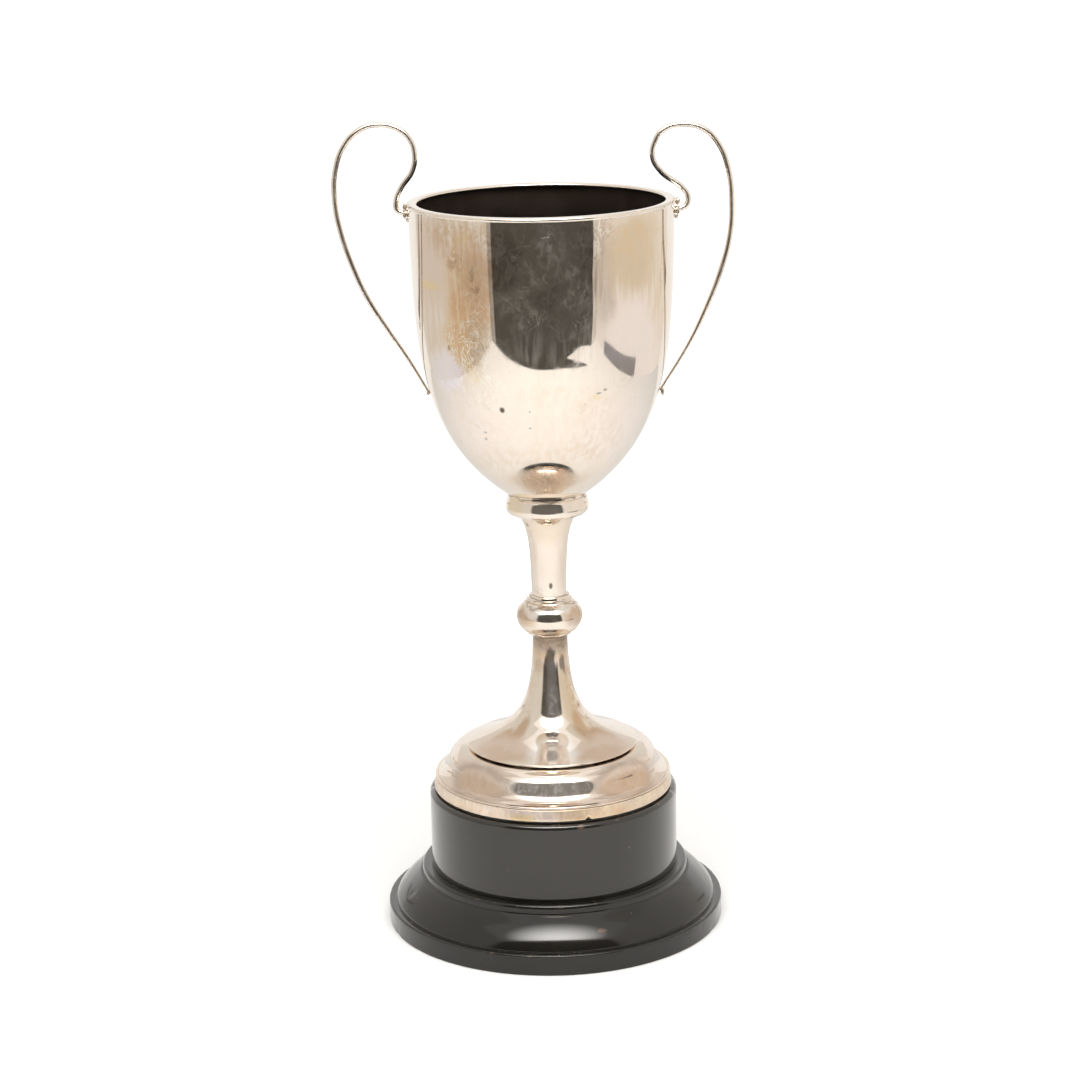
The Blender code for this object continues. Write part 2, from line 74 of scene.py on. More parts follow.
# Rim, stem, foot and plinth: widths of rings, sheet and lips, and what the plinth's joint takes up
RIM_WIDTH = 4.2 * MM
STEM_FOOT = 7.5 * MM
KNOP_EYE = 6.0 * MM
TRUMPET_NECK = 7.6 * MM
DOME_WIDTH = 21.2 * MM
RING_SHEET = 1.7 * MM
RING_LIP = 3.4 * MM
NICK_REACH = 1.5 * MM
NICK_RISE = 0.9 * MM
LAND_HEIGHT = 0.8 * MM
LAND_INSET = 3.4 * MM
SPIGOT_RADIUS = 19.8 * MM
SPIGOT_LENGTH = 6.0 * MM
SOCKET_RADIUS = 20.2 * MM
SOCKET_DEPTH = 8.0 * MM
BAND_HEIGHT = 8.9 * MM
PAD_POCKET = 1.4 * MM

# Wire handles: their thickness, and routes that run from under the rim up, over and down to the bowl,
# each point how far out of the rim's outer edge and how far above the rim's top
WIRE_RADIUS = 1.15 * MM
WIRE_TIP_RADIUS = 0.6 * MM
TAPER_POINTS = 3
EYELET_RADIUS = 1.15 * MM
EYELET_WIRE = 0.5 * MM
LEFT_ROUTE = (
    (0.0017, -0.0044), (0.0039, -0.0033), (0.0043, 0.0006), (0.0023, 0.0056), (-0.0029, 0.0132),
    (-0.0040, 0.0200), (-0.0020, 0.0263), (0.0030, 0.0307), (0.0115, 0.0324), (0.0190, 0.0301),
    (0.0253, 0.0238), (0.0291, 0.0140), (0.0299, 0.0010), (0.0279, -0.0120), (0.0236, -0.0262),
    (0.0176, -0.0404), (0.0101, -0.0529), (0.0013, -0.0666), (-0.0071, -0.0815),
)
RIGHT_ROUTE = (
    (0.0017, -0.0052), (0.0046, -0.0036), (0.0052, 0.0002), (0.0030, 0.0036), (-0.0060, 0.0107),
    (-0.0094, 0.0170), (-0.0083, 0.0232), (-0.0045, 0.0280), (0.0040, 0.0299), (0.0125, 0.0275),
    (0.0184, 0.0210), (0.0221, 0.0110), (0.0235, -0.0030), (0.0225, -0.0175), (0.0185, -0.0322),
    (0.0127, -0.0468), (0.0058, -0.0611), (-0.0072, -0.0822),
)

# Lumps of solder: name, place and radii in mm, seed of their unevenness
SOLDER_SPOTS = (
    ("left_spur", (-56.9, 0.0, 315.2), (0.8, 0.8, 1.4), 5.0),
    ("left_tail", (-56.1, 0.0, 310.4), (0.6, 0.8, 1.9), 6.0),
    ("left_tip", (-49.6, 0.0, 236.0), (0.6, 0.8, 1.2), 7.0),
    ("right_spur", (56.9, 0.0, 315.3), (0.9, 0.8, 1.4), 8.0),
    ("right_tail", (56.5, 0.0, 309.9), (0.8, 0.9, 2.0), 9.0),
    ("right_tip", (49.9, 0.0, 234.4), (0.8, 1.0, 1.9), 10.0),
)

# Light tent round the object: its walls and ceiling, the opening over the table's front edge, and the
# bright box in the ceiling, whose glow fades from the middle (centre, radii) to its edges
TENT_SIDE = 0.580
TENT_FRONT = -0.582
TENT_BACK = 0.580
TENT_TOP = 0.800
TABLE_FRONT = -0.553
OPENING_LEFT = -0.512
OPENING_RIGHT = 0.508
OPENING_TOP = 0.690
SOFTBOX_END = -0.15
SOFTBOX_GLOW = 14.0
SOFTBOX_FADE = ((0.0, -0.50, TENT_TOP), (0.31, 0.19, 1.0))
FADED_GLOW = 1.05
CLEAR = 0.001
CLOTH = (1.0, 0.955, 0.890)
BOX_LIGHT = (1.0, 0.985, 0.96)
LAMP_WHITE = (1.0, 0.985, 0.965)

# Small shapes that the silver mirrors: a flap of the opening, the table's edge, a gap and two folds
FLAP = (
    (0.196, 0.0245), (0.272, 0.0056), (0.300, 0.000), (0.500, 0.000),
    (0.434, 0.016), (0.360, 0.030), (0.300, 0.033),
)
TONGUE = (
    (0.100, -0.5535), (0.189, -0.536), (0.255, -0.511), (0.330, -0.480),
    (0.384, -0.459), (0.353, -0.499), (0.300, -0.535), (0.262, -0.5535),
)
GAP = (
    (0.5640, -0.400, 0.001), (0.5620, -0.273, 0.001), (0.5620, -0.137, 0.001), (0.5620, 0.034, 0.001),
    (0.5770, 0.018, 0.050), (0.5770, -0.110, 0.045), (0.5770, -0.301, 0.039), (0.5770, -0.413, 0.029),
)
FOLD_WIDTH = 0.019
LEFT_FOLD = (
    (-0.577, 0.430, 0.225), (-0.577, 0.456, 0.200), (-0.577, 0.498, 0.172),
    (-0.577, 0.577, 0.136), (-0.508, 0.577, 0.126), (-0.410, 0.577, 0.120),
)
RIGHT_FOLD = ((0.577, 0.380, 0.225), (0.577, 0.400, 0.196), (0.577, 0.490, 0.160), (0.577, 0.577, 0.129))

# Floor: its half width, how far below the pad it lies, and how brightly the silver mirrors it
FLOOR_REACH = 14.0
FLOOR_DROP = 0.00004
FLOOR_MIRRORED = 0.17

# Camera
CAMERA_PLACE = (-0.00345, -1.156, 0.474)
CAMERA_PITCH = 14.72
CAMERA_ROLL = -1.24
CAMERA_LENS = 92.57
CAMERA_SENSOR = 36.0
CAMERA_FAR = 60.0


def mm(*values):
    """These values, given in millimetres, in metres."""
    return tuple(value * MM for value in values)


def bezier(start, first, second, end, steps):
    """Points (radius, height) along a curve through its two ends, drawn by two handle points."""
    knots = [Vector((across, up, 0.0)) for across, up in (start, first, second, end)]
    return [(point.x, point.y) for point in interpolate_bezier(*knots, steps + 1)]


def between(start, end, shares):
    """The point at these shares of the width and of the height from start to end."""
    across, up = shares
    return (start[0] + across * (end[0] - start[0]), start[1] + up * (end[1] - start[1]))


def swept(start, handles, end, steps):
    """A curve whose handle points are shares of the box from start to end."""
    return bezier(start, between(start, end, handles[0]), between(start, end, handles[1]), end, steps)


def arc(centre, radii, start_degrees, end_degrees, steps):
    """Points (radius, height) along a part of an ellipse."""
    points = []
    for step in range(steps + 1):
        angle = math.radians(start_degrees + (end_degrees - start_degrees) * step / steps)
        points.append((centre[0] + radii[0] * math.cos(angle), centre[1] + radii[1] * math.sin(angle)))
    return points


def rolled(start, angle, runs):
    """Points along arcs that run on smoothly, the angle being how far up the surface looks.

    Each run is (radius of the arc, angle at its end), the radius below zero where it is hollow.
    """
    points = [start]
    for radius, end in runs:
        across, up = points[-1]
        first = math.radians(angle)
        steps = max(3, math.ceil(abs(end - angle) / 3.0))
        for step in range(1, steps + 1):
            here = first + (math.radians(end) - first) * step / steps
            out = radius * (math.cos(here) - math.cos(first))
            points.append((across + out, up + radius * (math.sin(here) - math.sin(first))))
        angle = end
    return points


def inner_face(outline, wall):
    """The outline moved by the wall's thickness to the left of its direction of travel."""
    moved = []
    last = len(outline) - 1
    for index, point in enumerate(outline):
        here = Vector(point)
        into = here - Vector(outline[max(index - 1, 0)])
        out = Vector(outline[min(index + 1, last)]) - here
        along = (into.normalized() + out.normalized()).normalized()
        moved.append((here.x - along.y * wall, here.y + along.x * wall))
    return moved


def softened(*corners, steps=5):
    """A polygon of corners (radius, height), rounded over a length in mm where a third value gives it."""
    outline = []
    count = len(corners)
    for index, (across, up, *rounding) in enumerate(corners):
        here = Vector((across, up))
        if not rounding:
            outline.append((across, up))
            continue
        before = (Vector(corners[index - 1][:2]) - here).normalized() * (rounding[0] * MM)
        after = (Vector(corners[(index + 1) % count][:2]) - here).normalized() * (rounding[0] * MM)
        first = here + before * CORNER_PULL
        second = here + after * CORNER_PULL
        outline += bezier(here + before, first, second, here + after, steps)
    return outline


def levelled(outline, longest):
    """The outline with straight runs split so that no step is longer than this."""
    points = [outline[0]]
    for start, end in zip(outline, outline[1:]):
        parts = max(1, math.ceil((Vector(end) - Vector(start)).length / longest))
        for part in range(1, parts + 1):
            points.append(between(start, end, (part / parts, part / parts)))
    return points


def placed(name, data):
    """An object for this data, in the scene."""
    piece = bpy.data.objects.new(name, data)
    bpy.context.scene.collection.objects.link(piece)
    return piece


def linked(name, mesh, materials):
    """An object for the mesh, shaded smooth except across its corners."""
    for material in materials:
        mesh.materials.append(material)
    mesh.shade_smooth()
    mesh.set_sharp_from_angle(angle=math.radians(SHARP_ANGLE))
    return placed(name, mesh)


def turned(name, profile, segments, materials, second_from=math.inf, shaped=None):
    """A solid of revolution about Z, each profile point an even ring or one point on the axis.

    The second material starts at the profile point second_from, and shaped moves each place.
    """
    closed = profile[0][0] > 0.0
    places = []
    rings = []
    for radius, height in profile:
        if radius <= 0.0:
            rings.append([len(places)])
            places.append(Vector((0.0, 0.0, height)))
            continue
        rings.append(list(range(len(places), len(places) + segments)))
        for step in range(segments):
            angle = math.tau * step / segments
            places.append(Vector((radius * math.cos(angle), radius * math.sin(angle), height)))
    faces = []
    slots = []
    pairs = list(zip(range(len(rings) - 1), range(1, len(rings))))
    if closed:
        pairs.append((len(rings) - 1, 0))
    for lower, upper in pairs:
        low, high = rings[lower], rings[upper]
        for step in range(segments):
            following = (step + 1) % segments
            if len(low) == 1:
                face = (low[0], high[following], high[step])
            elif len(high) == 1:
                face = (low[step], low[following], high[0])
            else:
                face = (low[step], low[following], high[following], high[step])
            faces.append(face)
            slots.append(int(lower >= second_from))
    if shaped:
        places = [shaped(place) for place in places]
    mesh = bpy.data.meshes.new(name)
    mesh.from_pydata([tuple(place) for place in places], [], faces)
    mesh.polygons.foreach_set("material_index", slots)
    work = bmesh.new()
    work.from_mesh(mesh)
    bmesh.ops.recalc_face_normals(work, faces=work.faces)
    work.to_mesh(mesh)
    work.free()
    return linked(name, mesh, materials)


def blob(name, place, radii, roughness, seed, material):
    """A small uneven lump of solder."""
    work = bmesh.new()
    bmesh.ops.create_icosphere(work, subdivisions=4, radius=1.0)
    for vertex in work.verts:
        swell = 1.0 + roughness * noise.noise(vertex.co * 1.3 + Vector((seed, 0.0, 0.0)))
        spot = vertex.co * swell
        vertex.co = Vector((spot.x * radii[0], spot.y * radii[1], spot.z * radii[2])) + Vector(place)
    mesh = bpy.data.meshes.new(name)
    work.to_mesh(mesh)
    work.free()
    return linked(name, mesh, [material])


def node(tree, kind, inputs=None, **settings):
    """A shader node with these settings, and with its inputs linked or set."""
    made = tree.nodes.new(kind)
    for key, value in settings.items():
        setattr(made, key, value)
    for key, value in (inputs or {}).items():
        if isinstance(value, bpy.types.NodeSocket):
            tree.links.new(value, made.inputs[key])
        else:
            made.inputs[key].default_value = value
    return made


def blank(name):
    """A new material: its tree, its shader and the object's own coordinates."""
    material = bpy.data.materials.new(name)
    material.use_nodes = True
    tree = material.node_tree
    shader = tree.nodes["Principled BSDF"]
    place = node(tree, "ShaderNodeTexCoord").outputs["Object"]
    return material, tree, shader, place


def clouds(tree, place, size, stretch=(1.0, 1.0, 1.0), detail=4.0, rough=0.55, warp=0.0):
    """Cloudy noise, 0 to 1, with features of about this size in metres."""
    inputs = {"Vector": vectors(tree, "MULTIPLY", place, stretch), "Scale": 1.0 / size}
    inputs |= {"Detail": detail, "Roughness": rough, "Distortion": warp}
    return node(tree, "ShaderNodeTexNoise", inputs).outputs["Fac"]


def ranged(tree, value, low, high, to_low=0.0, to_high=1.0, smooth=True):
    """The value taken from one range to another, held at both ends."""
    inputs = {"Value": value, "From Min": low, "From Max": high, "To Min": to_low, "To Max": to_high}
    kind = "SMOOTHSTEP" if smooth else "LINEAR"
    return node(tree, "ShaderNodeMapRange", inputs, interpolation_type=kind).outputs["Result"]


def maths(tree, operation, first, second=0.0, **settings):
    return node(tree, "ShaderNodeMath", {0: first, 1: second}, operation=operation, **settings).outputs[0]


def vectors(tree, operation, first, second):
    return node(tree, "ShaderNodeVectorMath", {0: first, 1: second}, operation=operation).outputs[0]


def length_of(tree, place):
    return node(tree, "ShaderNodeVectorMath", {0: place}, operation="LENGTH").outputs["Value"]


def times(tree, first, second):
    return maths(tree, "MULTIPLY", first, second)


def plus(tree, first, second):
    return maths(tree, "ADD", first, second, use_clamp=True)


def more(tree, first, *others):
    """The greatest of two or more values."""
    for other in others:
        first = maths(tree, "MAXIMUM", first, other)
    return first


def apart(tree, first, second):
    """How far two values are apart."""
    return maths(tree, "ABSOLUTE", maths(tree, "SUBTRACT", first, second))


def mixed(tree, factor, first, second):
    """One colour blended into another."""
    made = tree.nodes.new("ShaderNodeMix")
    made.data_type = "RGBA"
    for index, value in ((0, factor), (6, first), (7, second)):
        if isinstance(value, bpy.types.NodeSocket):
            tree.links.new(value, made.inputs[index])
        elif index == 0:
            made.inputs[index].default_value = value
        else:
            made.inputs[index].default_value = (*value, 1.0)
    return made.outputs[2]


def near(tree, place, centre, radii, edge=0.5):
    """1 inside an ellipsoid round a point of the object, fading to 0 past its edge."""
    inverse = tuple(1.0 / radius for radius in radii)
    scaled = vectors(tree, "MULTIPLY", vectors(tree, "SUBTRACT", place, centre), inverse)
    return ranged(tree, length_of(tree, scaled), 1.0 + edge, 1.0 - edge)


def oval(tree, sheet, degrees, height, wide, tall, edge):
    """The same for an oval on an unrolled surface: its middle and half sizes in degrees and mm."""
    return near(tree, sheet, (degrees, height * MM, 0.0), (wide, tall * MM, 1.0), edge)


def height_of(tree, place):
    return node(tree, "ShaderNodeSeparateXYZ", {0: place}).outputs["Z"]


def bumped(tree, layers):
    """Bump nodes in a chain; each layer is (height, distance in metres, strength)."""
    normal = None
    for height, distance, strength in layers:
        inputs = {"Height": height, "Distance": distance, "Strength": strength}
        if normal is not None:
            inputs["Normal"] = normal
        normal = node(tree, "ShaderNodeBump", inputs).outputs["Normal"]
    return normal


def hairlines(tree, place, size, tilt, thin, seed):
    """Fine scratches: level lines of a long drawn-out noise, turned by tilt and broken up."""
    inputs = {"Vector": place, "Rotation": tilt, "Location": (seed, seed, seed)}
    leaning = node(tree, "ShaderNodeMapping", inputs).outputs[0]
    drawn = clouds(tree, leaning, size, stretch=(1.0, 1.0, 0.07), detail=0.0)
    line = ranged(tree, apart(tree, drawn, 0.5), thin, thin * 0.2)
    parts = ranged(tree, clouds(tree, leaning, size * 1.7, stretch=(1.0, 1.0, 0.4), detail=2.0), 0.53, 0.60)
    return times(tree, line, parts)


def curls(tree, place, size, thin):
    """Curling threads: level lines of a strongly warped noise."""
    warped = clouds(tree, place, size, stretch=(1.0, 1.0, 0.6), detail=1.0, warp=2.5)
    return ranged(tree, apart(tree, warped, 0.5), thin, thin * 0.2)


def unrolled(tree, place):
    """A turned surface laid flat: degrees from the front towards the right, then the height."""
    parts = node(tree, "ShaderNodeSeparateXYZ", {0: place}).outputs
    angle = maths(tree, "ARCTAN2", parts["X"], times(tree, parts["Y"], -1.0))
    degrees = times(tree, angle, math.degrees(1.0))
    return node(tree, "ShaderNodeCombineXYZ", {"X": degrees, "Y": parts["Z"]}).outputs[0]


def frayed(tree, sheet, place, size, degrees, rise):
    """The unrolled surface pushed about by noise, so that patches on it get uneven edges."""
    inputs = {"Vector": place, "Scale": 1.0 / size, "Detail": 3.0}
    shift = node(tree, "ShaderNodeTexNoise", inputs).outputs["Color"]
    shift = vectors(tree, "SUBTRACT", shift, (0.5, 0.5, 0.5))
    return vectors(tree, "ADD", sheet, vectors(tree, "MULTIPLY", shift, (degrees, rise, 0.0)))


def specks(tree, place, size, share):
    """Small round pits or grains, one in some of the cells of a fine pattern."""
    cells = node(tree, "ShaderNodeTexVoronoi", {"Vector": place, "Scale": 1.0 / size, "Randomness": 1.0})
    spot = ranged(tree, cells.outputs["Distance"], 0.16, 0.06)
    picked = node(tree, "ShaderNodeSeparateColor", {0: cells.outputs["Color"]}).outputs[0]
    return times(tree, spot, ranged(tree, picked, 1.0 - share, 1.0 - share + 0.01))


def turning_lines(tree, place, scale, distortion, detail_scale):
    """Fine level rings left by the lathe."""
    inputs = {"Vector": place, "Scale": scale, "Distortion": distortion, "Detail": 2.0}
    inputs["Detail Scale"] = detail_scale
    settings = {"wave_type": "BANDS", "bands_direction": "Z"}
    return node(tree, "ShaderNodeTexWave", inputs, **settings).outputs["Fac"]


# Silver: clean and tarnished tones, the white and dark ones also used for painted highlights and painted
# shade, linear
CLEAN = (0.900, 0.815, 0.722)
WARM = (0.800, 0.655, 0.500)
TONES = {
    "warm": WARM,
    "rose": (0.800, 0.650, 0.545),
    "beige": (0.720, 0.580, 0.420),
    "gold": (0.790, 0.590, 0.370),
    "yellow": (0.860, 0.700, 0.400),
    "orange": (0.720, 0.470, 0.270),
    "brown": (0.600, 0.410, 0.255),
    "grey": (0.490, 0.400, 0.325),
    "lilac": (0.700, 0.610, 0.640),
    "dark": (0.230, 0.170, 0.120),
    "pale": (0.960, 0.900, 0.800),
    "pink": (0.930, 0.830, 0.785),
    "mist": (0.950, 0.875, 0.940),
    "white": (0.985, 0.975, 0.965),
}
SPOT = (0.075, 0.055, 0.035)
MILKY = (0.92, 0.86, 0.79)
OCHRE = (0.90, 0.65, 0.42)
RUSTY = (0.45, 0.36, 0.28)

# The bowl's oxidised inside, the black wood and the baize, linear
OXIDE_DARK = (0.014, 0.012, 0.010)
OXIDE_LIGHT = (0.028, 0.021, 0.017)
OXIDE_BROWN = (0.060, 0.038, 0.027)
OXIDE_DUST = (0.25, 0.22, 0.18)
EBONY_DARK = (0.0100, 0.0090, 0.0072)
EBONY_LIGHT = (0.0150, 0.0135, 0.0108)
EBONY_GRAIN = (0.022, 0.020, 0.018)
EBONY_FADED = (0.034, 0.031, 0.027)
EBONY_RUBBED = (0.155, 0.120, 0.090)
EBONY_CHIPPED = (0.130, 0.070, 0.045)
WOOD_DUST = (0.16, 0.14, 0.12)
LACQUER_TINT = (1.0, 0.93, 0.84, 1.0)
BAIZE_DEEP = (0.010, 0.040, 0.024)
BAIZE_NAP = (0.030, 0.095, 0.055)
BAIZE_WORN = (0.060, 0.100, 0.070)


def silver(
    name, patches=(), spots=(), dents=(), warm=0.3, haze=0.03, rough=0.04, hair=0.25, wave=0.06,
    film=MILKY, fray=(9.0, 9.0), soft=0.45, veil=1.0,
):
    """Polished silver with cloudy tarnish, haze, hairline scratches, pits and slight dents; some of its
    patches are painted shade, painted highlights and painted reflections.

    A patch is (tone, degrees from the front, height in mm, half width in degrees, half height in mm,
    strength), and mottled, streaky or curly after that where a grain breaks it up. The tone bloom is a
    pale haze and scuff a roughened place. A spot is (degrees, height, half width, half height, strength),
    and a dent the same with its rise in hundredths of a millimetre in the place of the strength.
    The film is the colour of the haze and veil how far it covers the tones, fray how far noise pushes
    the patches' edges about, in degrees and mm, and soft how wide those edges fade.
    """
    material, tree, shader, place = blank(name)
    sheet = unrolled(tree, place)
    loose = frayed(tree, sheet, place, 9 * MM, fray[0], fray[1] * MM)
    patchy = clouds(tree, place, 26 * MM, stretch=(1.0, 1.0, 0.5), detail=6.0, rough=0.62, warp=0.6)
    finer = clouds(tree, place, 3.2 * MM, stretch=(1.0, 1.0, 0.7), detail=5.0, rough=0.68, warp=0.8)
    streaks = clouds(tree, place, 2.2 * MM, stretch=(1.0, 1.0, 0.09), detail=3.0, rough=0.6)
    smear = clouds(tree, place, 12 * MM, stretch=(1.0, 1.0, 0.6), detail=7.0, rough=0.72, warp=1.6)
    grains = {
        "mottled": ranged(tree, finer, 0.42, 0.60),
        "streaky": ranged(tree, streaks, 0.40, 0.60),
        "curly": curls(tree, place, 5 * MM, 0.060),
    }
    colour = mixed(tree, ranged(tree, patchy, 0.40, 0.72, 0.0, warm), CLEAN, WARM)
    colour = mixed(tree, ranged(tree, streaks, 0.45, 0.75, 0.0, 0.30 * warm), colour, TONES["beige"])
    bloom = ranged(tree, smear, 0.38, 0.74, 0.0, haze)
    bloom = plus(tree, bloom, ranged(tree, finer, 0.48, 0.78, 0.0, 0.8 * haze))
    scuff = ranged(tree, smear, 0.35, 0.80, 0.0, 0.07)
    for tone, degrees, height, wide, tall, strength, *grain in patches:
        reach = oval(tree, loose, degrees, height, wide, tall, soft)
        if grain:
            reach = times(tree, reach, grains[grain[0]])
        reach = times(tree, reach, strength)
        if tone == "bloom":
            bloom = plus(tree, bloom, reach)
        elif tone == "scuff":
            scuff = plus(tree, scuff, reach)
        else:
            colour = mixed(tree, reach, colour, TONES[tone])
    lines = more(
        tree,
        hairlines(tree, place, 5 * MM, (0.5, 0.9, 0.2), 0.010, 3.1),
        hairlines(tree, place, 4 * MM, (1.4, 0.3, 1.1), 0.010, 7.7),
        hairlines(tree, place, 6 * MM, (2.4, 1.1, 0.6), 0.008, 1.7),
    )
    lines = times(tree, lines, hair)
    bloom = plus(tree, bloom, times(tree, lines, 0.35))
    pits = times(tree, specks(tree, place, 9 * MM, 0.03), 0.5)
    for *spot, strength in spots:
        pits = more(tree, pits, times(tree, oval(tree, sheet, *spot, 0.45), strength))
    colour = mixed(tree, pits, colour, SPOT)
    colour = mixed(tree, ranged(tree, bloom, 0.0, 0.35, 0.0, veil), colour, film)
    tree.links.new(colour, shader.inputs["Base Color"])
    tree.links.new(maths(tree, "SUBTRACT", 1.0, bloom), shader.inputs["Metallic"])
    dull = maths(tree, "ADD", scuff, rough)
    dull = more(tree, dull, times(tree, lines, 0.35), times(tree, pits, 0.55))
    tree.links.new(dull, shader.inputs["Roughness"])
    waves = clouds(tree, place, 19 * MM, detail=1.0)
    layers = [(waves, wave * MM, 1.0), (lines, -0.004 * MM, 0.5), (pits, -0.04 * MM, 0.8)]
    for *dent, rise in dents:
        layers.append((oval(tree, sheet, *dent, 0.95), rise * 0.01 * MM, 1.0))
    tree.links.new(bumped(tree, layers), shader.inputs["Normal"])
    return material


def dark_silver(name):
    """The blackened, oxidised inside of the bowl."""
    material, tree, shader, place = blank(name)
    cloudy = clouds(tree, place, 22 * MM, stretch=(1.0, 1.0, 1.6), detail=6.0, rough=0.6, warp=0.8)
    colour = mixed(tree, ranged(tree, cloudy, 0.42, 0.70), OXIDE_DARK, OXIDE_LIGHT)
    brown = ranged(tree, height_of(tree, place), 0.300, 0.312)
    colour = mixed(tree, times(tree, brown, 0.60), colour, OXIDE_BROWN)
    colour = mixed(tree, times(tree, specks(tree, place, 5 * MM, 0.03), 0.5), colour, OXIDE_DUST)
    tree.links.new(colour, shader.inputs["Base Color"])
    shader.inputs["Metallic"].default_value = 0.55
    tree.links.new(ranged(tree, cloudy, 0.3, 0.7, 0.30, 0.46), shader.inputs["Roughness"])
    rings = turning_lines(tree, place, 190.0, 1.5, 3.0)
    layers = [(rings, 0.003 * MM, 0.6), (cloudy, 0.04 * MM, 0.5)]
    tree.links.new(bumped(tree, layers), shader.inputs["Normal"])
    return material


def black_wood(name, edges, chips, rough, coat, faded=0.0):
    """Ebonised, lacquered wood with turning lines, faint grain, rubbed edges and small chips.

    Each edge is a height with its half width, each chip (centre, radii), and the coat is the weight and
    roughness of the lacquer and the specular level of the wood under it. Faded is how far the black
    has gone grey.
    """
    material, tree, shader, place = blank(name)
    height = height_of(tree, place)
    cloudy = clouds(tree, place, 30 * MM, detail=5.0, rough=0.6, warp=0.6)
    grain = clouds(tree, place, 1.6 * MM, stretch=(1.0, 1.0, 0.12), detail=4.0, rough=0.6)
    colour = mixed(tree, ranged(tree, cloudy, 0.35, 0.70), EBONY_DARK, EBONY_LIGHT)
    colour = mixed(tree, times(tree, ranged(tree, grain, 0.55, 0.80), 0.25), colour, EBONY_GRAIN)
    colour = mixed(tree, faded, colour, EBONY_FADED)
    bands = [ranged(tree, apart(tree, height, level), reach, reach * 0.3) for level, reach in edges]
    rubbed = ranged(tree, clouds(tree, place, 5 * MM, detail=6.0, rough=0.75), 0.55, 0.70)
    worn = times(tree, more(tree, *bands), rubbed)
    colour = mixed(tree, times(tree, worn, 0.55), colour, EBONY_RUBBED)
    dust = specks(tree, place, 4.0 * MM, 0.06)
    colour = mixed(tree, times(tree, dust, 0.6), colour, WOOD_DUST)
    broken = more(tree, *(near(tree, place, centre, radii, 0.4) for centre, radii in chips))
    colour = mixed(tree, times(tree, broken, 0.8), colour, EBONY_CHIPPED)
    tree.links.new(colour, shader.inputs["Base Color"])
    lines = turning_lines(tree, place, 420.0, 1.2, 1.5)
    hair = more(
        tree,
        hairlines(tree, place, 7 * MM, (1.4, 0.2, 0.3), 0.012, 2.3),
        hairlines(tree, place, 5 * MM, (0.4, 1.2, 0.8), 0.010, 5.1),
    )
    gloss = ranged(tree, cloudy, 0.30, 0.75, rough, rough + 0.07)
    gloss = more(tree, gloss, times(tree, worn, 0.5), times(tree, hair, 0.26))
    tree.links.new(gloss, shader.inputs["Roughness"])
    shader.inputs["Coat Weight"].default_value = coat[0]
    shader.inputs["Coat Roughness"].default_value = coat[1]
    shader.inputs["Specular IOR Level"].default_value = coat[2]
    shader.inputs["Specular Tint"].default_value = LACQUER_TINT
    layers = [(lines, 0.003 * MM, 0.5), (grain, 0.004 * MM, 0.4), (hair, -0.003 * MM, 0.3)]
    layers += [(dust, 0.02 * MM, 0.6), (broken, -0.25 * MM, 0.9)]
    tree.links.new(bumped(tree, layers), shader.inputs["Normal"])
    return material


def baize(name):
    """Dark green cloth with a short uneven nap."""
    material, tree, shader, place = blank(name)
    fibres = clouds(tree, place, 0.5 * MM, detail=6.0, rough=0.8, warp=2.0)
    worn = clouds(tree, place, 22 * MM, detail=4.0)
    colour = mixed(tree, ranged(tree, fibres, 0.35, 0.70), BAIZE_DEEP, BAIZE_NAP)
    colour = mixed(tree, ranged(tree, worn, 0.55, 0.75, 0.0, 0.35), colour, BAIZE_WORN)
    tree.links.new(colour, shader.inputs["Base Color"])
    shader.inputs["Roughness"].default_value = 0.95
    shader.inputs["Sheen Weight"].default_value = 0.4
    tree.links.new(bumped(tree, [(fibres, 0.25 * MM, 0.9)]), shader.inputs["Normal"])
    return material


def of(piece, body, slot, *nodes):
    """The piece moves with its body and stands for these nodes; slot, the finish's name, is not used."""
    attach(piece, body)
    if nodes:
        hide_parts(*nodes)


def bottom_of(name):
    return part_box(name)[0].z


def top_of(name):
    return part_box(name)[1].z


def radius_of(name):
    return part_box(name)[1].x


def bowl_outline(seat, mouth):
    """The bowl's outside, from its seat up to its mouth."""
    shoulder = (mouth[0] - BOWL_SHOULDER_INSET, seat[1] + BOWL_SHOULDER_HEIGHT)
    below = SHOULDER_PULLS[0] * BOWL_SHOULDER_HEIGHT
    above = SHOULDER_PULLS[1] * (mouth[1] - shoulder[1])
    lean = math.tan(SHOULDER_SLOPE)
    under_shoulder = (shoulder[0] - lean * below, shoulder[1] - below)
    over_shoulder = (shoulder[0] + lean * above, shoulder[1] + above)
    belly = bezier(seat, between(seat, shoulder, BELLY_LEAVES), under_shoulder, shoulder, 56)
    wall = bezier(shoulder, over_shoulder, between(shoulder, mouth, MOUTH_ARRIVES), mouth, 44)
    return belly + wall[1:]


def make_bowl(outer, inner):
    """The raised bowl with its rounded bottom, bright outside and dark inside."""
    seat_height = bottom_of("bowl") + BOWL_DIP
    mouth = (radius_of("rim_wire") - 0.4 * MM, bottom_of("rim_wire") + NEST)
    under = swept((0.0, seat_height - BOWL_DIP), UNDER_HANDLES, (BOWL_SEAT_INNER, seat_height), 12)
    outside = under + bowl_outline((BOWL_SEAT_RADIUS, seat_height), mouth)
    inside = inner_face(outside, SILVER_WALL)
    inside[-1] = (mouth[0] - SILVER_WALL, mouth[1])
    inside = [point for point in inside if point[1] > seat_height + 1.2 * MM]
    across, up = inside[0]
    shares = (0.0, 0.3, 0.6, 0.85)
    bottom = [(share * across, up - (1 - share**2) * BOWL_INSIDE_DIP) for share in shares]
    profile = outside + (bottom + inside)[::-1]
    piece = turned("bowl_raised", profile, WIDE, [outer, inner], second_from=len(outside))
    of(piece, "cup", "silver", "bowl")


